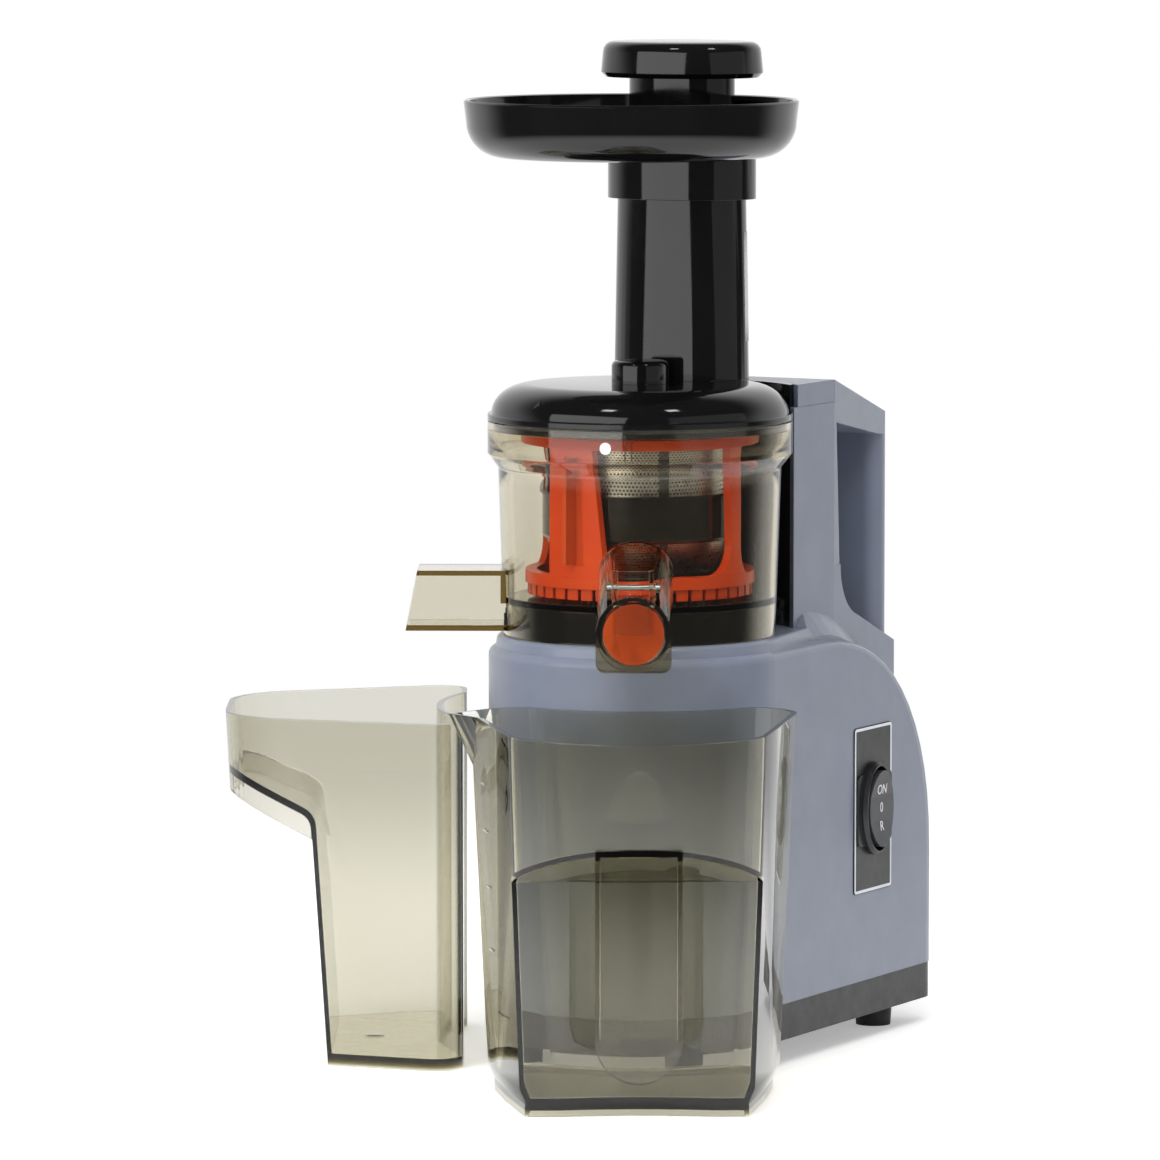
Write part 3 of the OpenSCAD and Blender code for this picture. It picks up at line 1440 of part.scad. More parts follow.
// What the base, the recess and its slightly hollow wall take from the jug
module jug_cuts(inset, low, high) {
    shoulder = recess_side_z + inset;
    translate([-jug_shift, 0, low - 1]) cylinder(high + 2, r = jug_back_r + inset);
    // recessed lower front under a sloping shoulder
    across(300) polygon([[-panel_reach + inset, low - 1], [-panel_reach + inset, shoulder],
        [-jug_reach - 20, shoulder + recess_slope * (jug_reach + 20 - panel_reach)],
        [-jug_reach - 20, low - 1]]);
    translate([0, -panel_reach - 160 + 3 + inset, low - 1])
        cylinder(shoulder - low + 1, r = 160, $fn = 160);
}

// Body of the jug, drawn in by a margin, in its own frame with the front at -Y
module jug_form(inset, low, high) {
    difference() {
        hull() {
            translate([0, 0, low]) linear_extrude(eps) jug_foot_plan(inset + foot_rim_step);
            translate([0, 0, low + 6.5]) linear_extrude(eps) jug_foot_plan(inset);
            translate([0, 0, high - eps]) linear_extrude(eps)
                jug_plan(inset, jug_rim_half, jug_reach, cheek_rim, panel_reach + cheek_lean,
                    jug_corner_y + 6);
        }
        jug_cuts(inset, low, high);
    }
}

// Upright block inside the foot rim, drawn in by a margin
module jug_foot_block(inset, low, high) {
    difference() {
        translate([0, 0, low]) linear_extrude(high - low) hull() jug_foot_plan(inset);
        jug_cuts(inset, low, high);
    }
}

// Pouring lip at one rear corner, drawn in by a margin
module jug_lip(inset) {
    hull() {
        translate([spout_x - 5 + inset, -75, jug_h - eps]) cylinder(eps, r = 3.2, $fn = 24);
        translate([spout_x + 12, -92, jug_h - eps]) cylinder(eps, r = 6, $fn = 24);
        translate([spout_x + 12, -62, jug_h - eps]) cylinder(eps, r = 4, $fn = 24);
        translate([spout_x + 9 + inset, -76, jug_h - 26]) cylinder(eps, r = 5, $fn = 24);
    }
}

// Hanging tab: a plate with a round lower end and a flange along each straight side
module jug_tab() {
    front = jug_reach - 3;
    round_z = tab_low + tab_w / 2;
    translate([0, -front + tab_t, 0]) rotate([90, 0, 0]) linear_extrude(tab_t) {
        translate([0, round_z]) circle(d = tab_w);
        translate([-tab_w / 2, round_z]) square([tab_w, tab_top - round_z]);
    }
    for (x = [-1, 1]) translate([x * (tab_w / 2 - 1) - 1, -front + tab_t - 1, round_z])
        cube([2, tab_flange + 1, tab_top - round_z]);
}

module juice_jug() {
    color(smoke) facing(jug_angle) translate([jug_shift, 0, 0]) {
        difference() {
            union() {
                jug_form(0, foot_rim_h, jug_h);
                jug_foot_block(foot_rim_step + 0.4, 0, foot_rim_h + 1);
                jug_lip(0);
                jug_tab();
            }
            jug_form(jug_wall, foot_rim_h + jug_wall, jug_h + eps * 3);
            jug_foot_block(foot_rim_step + 0.4 + jug_wall, -1, foot_rim_h - 3);
            translate([0, 0, 0.1]) jug_lip(jug_wall);
        }
    }
}

// ---- pulp container ----

// Plan of the container: two horns beside the base and a round nose, drawn in by a margin
module pulp_plan(inset, draft) {
    for (x = [-1, 1]) {
        translate([x * (horn_x - horn_r - draft), -horn_y]) circle(horn_r - inset, $fn = 40);
        translate([x * (wing_nose_x - draft / 2), -pulp_reach + wing_nose_r + draft])
            circle(wing_nose_r - inset - draft / 2, $fn = 64);
    }
}

module pulp_form(inset, low) {
    difference() {
        hull() {
            translate([0, 0, low]) linear_extrude(eps) pulp_plan(inset, pulp_draft);
            translate([0, 0, pulp_h - eps]) linear_extrude(eps) pulp_plan(inset, 0);
        }
        translate([0, pulp_hollow_r - 84, low - 1]) cylinder(400, r = pulp_hollow_r + inset, $fn = 120);
    }
}

// Side outline of what lies below the wing and before the body, with an inner corner of radius r,
// drawn towards the body by a margin and up by a rise
function below_wing(inset, rise, r) =
    let (slope = (wing_low_tip - wing_low_body) / (pulp_reach - body_reach - body_lean),
         mid = wing_low_body + rise + r * (slope - sqrt(1 + slope * slope)),
         foot = body_reach - inset, face = foot + body_lean * mid / wing_low_body,
         tip = pulp_reach + 10)
    concat([[-tip, -1], [-foot, -1]],
        arc(-face - r, mid, r, r, 0, 90 - atan(slope), 5),
        [[-tip, wing_low_body + rise + slope * (tip - face)]]);

module pulp_container() {
    color(smoke) facing(pulp_angle) translate([pulp_side, 0, 0]) difference() {
        pulp_form(0, 0);
        difference() {
            pulp_form(pulp_wall, 5);
            across(400) polygon(below_wing(pulp_wall, wing_skirt + pulp_wall, 9));
        }
        // slanted lower edge of the wing, and the hollow under its floor
        across(400) polygon(below_wing(0, 0, 1));
        intersection() {
            pulp_form(pulp_wall, 0);
            across(400) polygon(below_wing(0, wing_skirt, 7));
        }
    }
}

housing();
column_cap();
column_panel();
bowl_seat();
bottom_cover();
feet();
bottom_screws();
switch_plate();
switch_bezel();
switch_body();
rocker();
cord_grommet();
run_capacitor();
motor_stator();
motor_windings();
motor_end_upper();
motor_end_lower();
motor_bushes();
motor_bolts();
rotor_core();
rotor_shaft();
motor_pinion();
cooling_fan();
gearbox_case();
gearbox_lid();
gearbox_screws();
compound_axle();
compound_gear();
output_gear();
output_shaft();
output_bushes();
shaft_seal();
bowl();
hub_seal();
pulp_plug();
idler_pin();
idler_gear();
cap_pin();
juice_cap();
juice_cap_seal();
strainer_frame();
strainer_mesh_upper();
strainer_mesh_lower();
brush_frame();
brush_blades();
auger_screw();
auger_spindle();
auger_gear();
lid_seal();
lid();
feed_tray();
pusher_stem();
pusher_cap();
juice_jug();
pulp_container();
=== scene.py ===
"""Studio scene of a vertical cold press juicer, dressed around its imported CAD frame."""

from __future__ import annotations

import json
import logging
import math
from dataclasses import dataclass, field
from enum import Enum

import bmesh
import bpy
from mathutils import Matrix, Vector
from mathutils.bvhtree import BVHTree

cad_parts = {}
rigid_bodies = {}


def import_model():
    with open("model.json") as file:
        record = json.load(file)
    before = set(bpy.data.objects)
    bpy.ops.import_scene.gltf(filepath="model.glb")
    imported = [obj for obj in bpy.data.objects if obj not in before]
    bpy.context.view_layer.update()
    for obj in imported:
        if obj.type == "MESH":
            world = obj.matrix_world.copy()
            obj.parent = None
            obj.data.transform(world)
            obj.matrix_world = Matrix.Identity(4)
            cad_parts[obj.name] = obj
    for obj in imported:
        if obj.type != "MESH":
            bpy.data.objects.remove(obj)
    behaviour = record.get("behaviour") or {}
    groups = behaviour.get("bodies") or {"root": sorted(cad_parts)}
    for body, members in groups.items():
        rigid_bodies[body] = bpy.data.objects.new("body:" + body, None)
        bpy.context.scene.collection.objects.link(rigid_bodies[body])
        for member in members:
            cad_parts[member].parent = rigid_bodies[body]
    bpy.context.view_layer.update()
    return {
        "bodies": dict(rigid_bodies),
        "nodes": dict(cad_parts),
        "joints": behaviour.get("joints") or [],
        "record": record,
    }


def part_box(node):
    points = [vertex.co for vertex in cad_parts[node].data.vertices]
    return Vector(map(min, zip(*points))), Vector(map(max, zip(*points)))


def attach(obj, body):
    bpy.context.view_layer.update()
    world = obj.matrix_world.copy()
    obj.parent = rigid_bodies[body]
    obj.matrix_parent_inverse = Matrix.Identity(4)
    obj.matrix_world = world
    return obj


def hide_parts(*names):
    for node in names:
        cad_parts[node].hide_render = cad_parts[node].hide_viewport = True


log = logging.getLogger("juicer")
MM = 0.001
WHITE = (1.0, 1.0, 1.0, 1.0)
# Points of a copied node that are closer than this are one point, in metres
WELD = 1e-6
# Edges shorter than this are slivers, in metres
SLIVER = 1e-7
# How far a print may hang from the surface that it is laid on, in metres
REACH = 0.05
# Cap height of the built-in font as a share of its size
CAP_SHARE = 0.72
# How much fatter than the font the letters are printed, in millimetres
INK_SPREAD = 0.05
# The part of a noise's values that most of its area lies in
NOISE_MIDDLE = (0.3, 0.7)


def linear(code: str) -> tuple[float, float, float, float]:
    """Turn an sRGB hex colour into linear red, green, blue and alpha.

    Args:
        code: colour as "#rrggbb".

    Returns:
        The four linear channels, with alpha at one.
    """
    channels = [int(code[i : i + 2], 16) / 255 for i in (1, 3, 5)]
    made = [c / 12.92 if c <= 0.04045 else ((c + 0.055) / 1.055) ** 2.4 for c in channels]
    return (made[0], made[1], made[2], 1.0)


def per_mm(size: float) -> float:
    """Texture scale for Object coordinates in metres that gives features of a size in millimetres."""
    return 1 / (size * MM)


def add_node(
    tree: bpy.types.NodeTree,
    kind: str,
    settings: dict[str | int, object] | None = None,
    links: dict[str | int, bpy.types.NodeSocket] | None = None,
) -> bpy.types.Node:
    """Add one shader node with its settings and links.

    Args:
        tree: node tree that takes the node.
        kind: type of the node, such as "ShaderNodeMix".
        settings: values by name; a small first letter is a property, anything else an input socket.
        links: output sockets by the input socket that they feed.

    Returns:
        The new node.
    """
    node = tree.nodes.new(kind)
    for key, value in (settings or {}).items():
        if isinstance(key, str) and key[0].islower():
            setattr(node, key, value)
        else:
            node.inputs[key].default_value = value
    for key, source in (links or {}).items():
        tree.links.new(source, node.inputs[key])
    return node


def parted(
    inputs: dict[int, float | bpy.types.NodeSocket],
) -> tuple[dict[int, float], dict[int, bpy.types.NodeSocket]]:
    """Part a node's inputs into numbers, which are set, and sockets, which are linked."""
    numbers = {key: value for key, value in inputs.items() if isinstance(value, float)}
    return numbers, {key: value for key, value in inputs.items() if key not in numbers}


class Body(str, Enum):
    """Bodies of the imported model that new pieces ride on."""

    BASE = "base"
    ROCKER = "rocker"
    BOWL = "bowl"
    LID = "lid"
    TRAY = "tray"
    PUSHER = "pusher"
    JUICE_CAP = "juice_cap"
    JUG = "jug"
    PULP = "pulp_container"


class Slot(str, Enum):
    """Material slots of the record."""

    BLACK = "gloss_black"
    SMOKE = "smoke_clear"
    ROCKER = "rocker_grey"
    PLATE = "plate_black"


# ---------------------------------------------------------------- finishes


@dataclass(frozen=True)
class Finish:
    """A surface finish that makes its material once."""

    name: str

    def material(self) -> bpy.types.Material:
        """Return the finish's material, made on first use."""
        found = bpy.data.materials.get(self.name)
        if found:
            return found
        made = bpy.data.materials.new(self.name)
        made.use_nodes = True
        made.node_tree.nodes.clear()
        output = add_node(made.node_tree, "ShaderNodeOutputMaterial")
        self.build(made.node_tree, output)
        return made

    def build(self, tree: bpy.types.NodeTree, output: bpy.types.Node) -> None:
        """Fill the material's node tree and link its output."""
        raise NotImplementedError

    def noise(self, tree: bpy.types.NodeTree, size: float, detail: float = 2.0) -> bpy.types.NodeSocket:
        """Noise over Object coordinates with features of a size in millimetres."""
        place = add_node(tree, "ShaderNodeTexCoord")
        return add_node(
            tree,
            "ShaderNodeTexNoise",
            {"Scale": per_mm(size), "Detail": detail, "Roughness": 0.5},
            {"Vector": place.outputs["Object"]},
        ).outputs["Fac"]

    def varied(
        self, tree: bpy.types.NodeTree, source: bpy.types.NodeSocket, low: float, high: float
    ) -> bpy.types.NodeSocket:
        """Spread a noise's middle over a range of values, in which it stays."""
        least, most = NOISE_MIDDLE
        return add_node(
            tree,
            "ShaderNodeMapRange",
            {"From Min": least, "From Max": most, "To Min": low, "To Max": high},
            {"Value": source},
        ).outputs["Result"]

    def tones(
        self, tree: bpy.types.NodeTree, source: bpy.types.NodeSocket, low: str, high: str
    ) -> bpy.types.NodeSocket:
        """Mix two sRGB hex colours by a value from nought to one."""
        return add_node(
            tree,
            "ShaderNodeMix",
            {"data_type": "RGBA", 6: linear(low), 7: linear(high)},
            {0: source},
        ).outputs[2]

    def softened(self, tree: bpy.types.NodeTree, radius_mm: float) -> bpy.types.NodeSocket:
        """Normals that round every sharp edge by a radius in millimetres."""
        return add_node(tree, "ShaderNodeBevel", {"samples": 4, "Radius": radius_mm * MM}).outputs["Normal"]

    def bumped(
        self,
        tree: bpy.types.NodeTree,
        height: bpy.types.NodeSocket,
        strength: float,
        depth_mm: float,
        normal: bpy.types.NodeSocket | None = None,
    ) -> bpy.types.NodeSocket:
        """Normals tilted by a relief.

        Args:
            tree: node tree that takes the node.
            height: the relief, from nought to one.
            strength: share of the tilt that is kept.
            depth_mm: depth of the relief in millimetres.
            normal: normals that it starts from, or None for the surface's own.

        Returns:
            The tilted normals.
        """
        links = {"Height": height} if normal is None else {"Height": height, "Normal": normal}
        settings = {"Strength": strength, "Distance": depth_mm * MM}
        return add_node(tree, "ShaderNodeBump", settings, links).outputs["Normal"]


@dataclass(frozen=True)
class MouldedPlastic(Finish):
    """Injection moulded plastic: an even colour, a faint orange peel, and softened edges that catch light."""

    low: str
    high: str
    rough: tuple[float, float]
    peel_mm: float
    peel_depth: float
    edge_mm: float
    ior: float = 1.5
    coat: float = 0.0
    tone_mm: float = 22.0
    shine_mm: float = 6.0

    def build(self, tree: bpy.types.NodeTree, output: bpy.types.Node) -> None:
        """Build the plastic from a tone noise, a roughness noise and a fine bump."""
        tone = self.varied(tree, self.noise(tree, self.tone_mm), 0.0, 1.0)
        shine = self.varied(tree, self.noise(tree, self.shine_mm, 4.0), *self.rough)
        edge = self.softened(tree, self.edge_mm)
        shader = add_node(
            tree,
            "ShaderNodeBsdfPrincipled",
            {"IOR": self.ior, "Coat Weight": self.coat, "Coat Roughness": 0.08},
            {
                "Base Color": self.tones(tree, tone, self.low, self.high),
                "Roughness": shine,
                "Normal": self.bumped(tree, self.noise(tree, self.peel_mm), 0.5, self.peel_depth, edge),
            },
        )
        tree.links.new(shader.outputs[0], output.inputs["Surface"])


@dataclass(frozen=True)
class SmokyClear(Finish):
    """Tinted clear copolyester: thin walls stay pale, and edges seen lengthways go dark olive."""

    rough: tuple[float, float]
    absorbs: tuple[float, float, float]
    edge_mm: float = 0.5
    flow_mm: float = 30.0
    flow_depth: float = 0.05
    haze_mm: float = 12.0
    lets_through: float = 0.94

    def build(self, tree: bpy.types.NodeTree, output: bpy.types.Node) -> None:
        """Build the clear plastic from a glass shader, its absorption and a shadow that lets light in."""
        edge = self.softened(tree, self.edge_mm)
        glass = add_node(
            tree,
            "ShaderNodeBsdfPrincipled",
            {"Base Color": WHITE, "Transmission Weight": 1.0, "IOR": 1.5},
            {
                "Roughness": self.varied(tree, self.noise(tree, self.haze_mm, 3.0), *self.rough),
                "Normal": self.bumped(tree, self.noise(tree, self.flow_mm), 0.2, self.flow_depth, edge),
            },
        )
        open_light = add_node(
            tree, "ShaderNodeBsdfTransparent", {"Color": (*[self.lets_through] * 3, 1.0)}
        )
        path = add_node(tree, "ShaderNodeLightPath")
        surface = add_node(
            tree,
            "ShaderNodeMixShader",
            {},
            {0: path.outputs["Is Shadow Ray"], 1: glass.outputs[0], 2: open_light.outputs[0]},
        )
        most = max(self.absorbs)
        tint = add_node(
            tree,
            "ShaderNodeVolumeAbsorption",
            {"Density": most, "Color": (*[1 - a / most for a in self.absorbs], 1.0)},
        )
        tree.links.new(surface.outputs[0], output.inputs["Surface"])
        tree.links.new(tint.outputs[0], output.inputs["Volume"])


@dataclass(frozen=True)
class WorkedMetal(Finish):
    """Metal with the fine marks of how it was made, turned round an upright axis or cast."""

    low: str = "#9a9ea3"
    high: str = "#b9bdc2"
    rough: tuple[float, float] = (0.22, 0.38)
    mark_mm: float = 0.6
    depth: float = 0.02
    turned: bool = True
    stretch: float = 0.05
    shine_mm: float = 4.0

    def build(self, tree: bpy.types.NodeTree, output: bpy.types.Node) -> None:
        """Build the metal from tone and roughness noise and a bump of tool marks."""
        place = add_node(tree, "ShaderNodeTexCoord")
        squash = (self.stretch, self.stretch, 1.0) if self.turned else (1.0, 1.0, 1.0)
        along = add_node(tree, "ShaderNodeMapping", {"Scale": squash}, {"Vector": place.outputs["Object"]})
        marks = add_node(
            tree,
            "ShaderNodeTexNoise",
            {"Scale": per_mm(self.mark_mm), "Detail": 3.0},
            {"Vector": along.outputs[0]},
        ).outputs["Fac"]
        shader = add_node(
            tree,
            "ShaderNodeBsdfPrincipled",
            {"Metallic": 1.0},
            {
                "Base Color": self.tones(tree, self.varied(tree, marks, 0.0, 1.0), self.low, self.high),
                "Roughness": self.varied(tree, self.noise(tree, self.shine_mm), *self.rough),
                "Normal": self.bumped(tree, marks, 0.6, self.depth),
            },
        )
        tree.links.new(shader.outputs[0], output.inputs["Surface"])


@dataclass(frozen=True)
class PerforatedSheet(Finish):
    """Stainless sheet with a staggered grid of holes, rolled round the upright axis."""

    pitch_mm: float = 1.55
    hole: float = 0.26
    radius_mm: float = 38.0
    row_rise: float = 0.866
    rim: float = 0.1
    rim_depth: float = 0.05
    low: str = "#b9b5ab"
    high: str = "#d8d4ca"
    rough: tuple[float, float] = (0.25, 0.4)
    tone_mm: float = 5.0
    shine_mm: float = 2.0

    def build(self, tree: bpy.types.NodeTree, output: bpy.types.Node) -> None:
        """Build the sheet from polar coordinates, so that the holes run round it."""

        def maths(operation: str, a: object, b: object = 0.0, c: object = 0.0) -> bpy.types.NodeSocket:
            """One Math node over sockets or numbers."""
            numbers, sockets = parted({0: a, 1: b, 2: c})
            return add_node(tree, "ShaderNodeMath", {"operation": operation, **numbers}, sockets).outputs[0]

        place = add_node(tree, "ShaderNodeTexCoord")
        axes = add_node(tree, "ShaderNodeSeparateXYZ", {}, {0: place.outputs["Object"]}).outputs
        columns = round(2 * math.pi * self.radius_mm / self.pitch_mm)
        turn = maths("ARCTAN2", axes[1], axes[0])
        across = maths("MULTIPLY", turn, columns / (2 * math.pi))
        row = maths("MULTIPLY", axes[2], per_mm(self.pitch_mm) / self.row_rise)
        odd = maths("MULTIPLY", maths("PINGPONG", maths("FLOOR", row), 1.0), 0.5)
        x = maths("SUBTRACT", maths("FRACT", maths("ADD", across, odd)), 0.5)
        y = maths("SUBTRACT", maths("FRACT", row), 0.5)
        distance = maths("SQRT", maths("ADD", maths("MULTIPLY", x, x), maths("MULTIPLY", y, y)))
        mask = add_node(
            tree,
            "ShaderNodeMapRange",
            {"From Min": self.hole, "From Max": self.hole + self.rim, "To Min": 0.0, "To Max": 1.0},
            {"Value": distance},
        ).outputs["Result"]
        steel = add_node(
            tree,
            "ShaderNodeBsdfPrincipled",
            {"Metallic": 1.0},
            {
                "Base Color": self.tones(tree, self.noise(tree, self.tone_mm), self.low, self.high),
                "Roughness": self.varied(tree, self.noise(tree, self.shine_mm), *self.rough),
                "Normal": self.bumped(tree, mask, 0.5, self.rim_depth),
            },
        )
        gap = add_node(tree, "ShaderNodeBsdfTransparent", {"Color": WHITE})
        sheet = add_node(tree, "ShaderNodeMixShader", {}, {0: mask, 1: gap.outputs[0], 2: steel.outputs[0]})
        tree.links.new(sheet.outputs[0], output.inputs["Surface"])


# Satin lacquer over ABS: cool grey with a fine grain, broad soft highlights
LACQUER = MouldedPlastic("lacquered_abs", "#757c8d", "#7c8394", (0.28, 0.35), 3.0, 0.002, 0.8, 1.5, 0.12)
# Polished ABS: deep black with sharp reflections
GLOSS_BLACK = MouldedPlastic("polished_black_abs", "#0b0b0c", "#101011", (0.05, 0.09), 3.0, 0.004, 0.5)
# Spark-eroded ABS: fine matt texture
SATIN_BLACK = MouldedPlastic("spark_eroded_black_abs", "#1a1a1c", "#222224", (0.4, 0.5), 0.7, 0.03, 0.4)
# Plain polycarbonate plate: even dark grey under a dull varnish
PLATE_GREY = MouldedPlastic("varnished_polycarbonate", "#1d1e20", "#242528", (0.35, 0.45), 0.9, 0.015, 0.2)
# Nylon bezel: nearly black with a dull sheen on its rim
BEZEL_BLACK = MouldedPlastic("moulded_nylon_bezel", "#1c1c1e", "#242527", (0.28, 0.38), 0.8, 0.02, 0.3)
# Nylon rocker: dark grey, finely eroded so that fingers grip it
ROCKER_GREY = MouldedPlastic("moulded_nylon_rocker", "#2e2f33", "#36373c", (0.32, 0.42), 0.8, 0.02, 0.5)
# Filled rubber: dull black with a slightly uneven skin
RUBBER = MouldedPlastic("moulded_rubber", "#151516", "#1d1d1f", (0.6, 0.75), 0.9, 0.05, 0.6)
# Grey silicone: soft sheen without sharp reflections
SILICONE_GREY = MouldedPlastic("grey_silicone", "#525254", "#5e5e60", (0.45, 0.55), 1.2, 0.02, 0.3, 1.41)
# Orange polypropylene: strong even colour with a waxy gloss
ORANGE = MouldedPlastic("orange_polypropylene", "#f04a0a", "#f6560f", (0.28, 0.36), 1.6, 0.012, 0.4, 1.49)
# Orange silicone: the same orange, softer and duller
ORANGE_SOFT = MouldedPlastic("orange_silicone", "#f0541c", "#f66225", (0.35, 0.45), 1.2, 0.02, 0.3, 1.41)
# Glass-filled engineering plastic: brown black with a hard sheen
AUGER = MouldedPlastic("glass_filled_pei", "#241e17", "#2f281e", (0.28, 0.36), 1.2, 0.02, 0.4, 1.6)
# Smoked engineering plastic of the strainer: brown, polished
STRAINER = MouldedPlastic("smoked_pei", "#1d1b16", "#24211b", (0.1, 0.16), 1.6, 0.01, 0.4, 1.6)
# Natural nylon: creamy gears with a dry look
NYLON = MouldedPlastic("natural_nylon", "#c8c2ac", "#d8d2bd", (0.35, 0.5), 1.0, 0.02, 0.3, 1.53)
# Glass-filled nylon: dull dark grey fan
FAN_PLASTIC = MouldedPlastic("glass_filled_nylon", "#2f3034", "#3a3b40", (0.45, 0.6), 0.9, 0.03, 0.3)
# Pad-printed white: chalky and opaque
WHITE_INK = MouldedPlastic("white_pad_print", "#dfe2e8", "#eceef2", (0.4, 0.5), 0.5, 0.008, 0.05)
# Painted highlight: a pale strip with a little grain on the black tube's side, standing in for a reflection
PAINTED_HIGHLIGHT = MouldedPlastic("painted_tube_highlight", "#d6d7da", "#e0e1e3", (0.4, 0.5), 0.8, 0.01, 0.05)
# Smoky copolyester of the bowl: pale through one wall, olive along its edges
SMOKE_BOWL = SmokyClear("smoky_copolyester_bowl", (0.0, 0.03), (63.0, 77.0, 122.0))
# Smoky copolyester of the loose containers: the same plastic, a shade deeper
SMOKE_TUB = SmokyClear("smoky_copolyester_tub", (0.0, 0.035), (110.0, 118.0, 165.0))
# Ground steel: bright, with fine marks round each shaft
GROUND_STEEL = WorkedMetal("ground_steel")
# Die-cast aluminium: grey and grainy
CAST_ALUMINIUM = WorkedMetal("die_cast_aluminium", "#8f9296", "#a6a9ac", (0.4, 0.55), 1.2, 0.06, False)
# Stacked laminations: thin dark sheets that show as level lines
LAMINATIONS = WorkedMetal("stacked_laminations", "#55575b", "#74777b", (0.4, 0.55), 0.5, 0.08)
# Enamelled copper wire: red brown, wound in close turns
COPPER = WorkedMetal("enamelled_copper", "#8c4a22", "#b5672b", (0.28, 0.42), 0.9, 0.2)
# Sintered bronze: dull gold with fine pores
BRONZE = WorkedMetal("sintered_bronze", "#94713d", "#b08d57", (0.35, 0.5), 0.6, 0.04)
# Perforated stainless sheets: rows of fine holes with bright metal between
MESH_UPPER = PerforatedSheet("perforated_sheet_upper")
MESH_LOWER = PerforatedSheet("perforated_sheet_lower", 1.2, 0.26, 34.0)


# ---------------------------------------------------------------- pieces


def turned(angle: float, at: tuple[float, float, float]) -> Matrix:
    """Matrix of a flat piece that stands upright and faces away from the upright axis.

    Args:
        angle: direction that it faces, in degrees from the front towards the switch side.
        at: its centre in millimetres.

    Returns:
        The matrix; the piece's own X runs to its right as it is faced, and its own Y runs up.
    """
    turn = Matrix.Rotation(math.radians(angle), 4, "Z") @ Matrix.Rotation(math.radians(90), 4, "X")
    return Matrix.Translation(Vector(at) * MM) @ turn


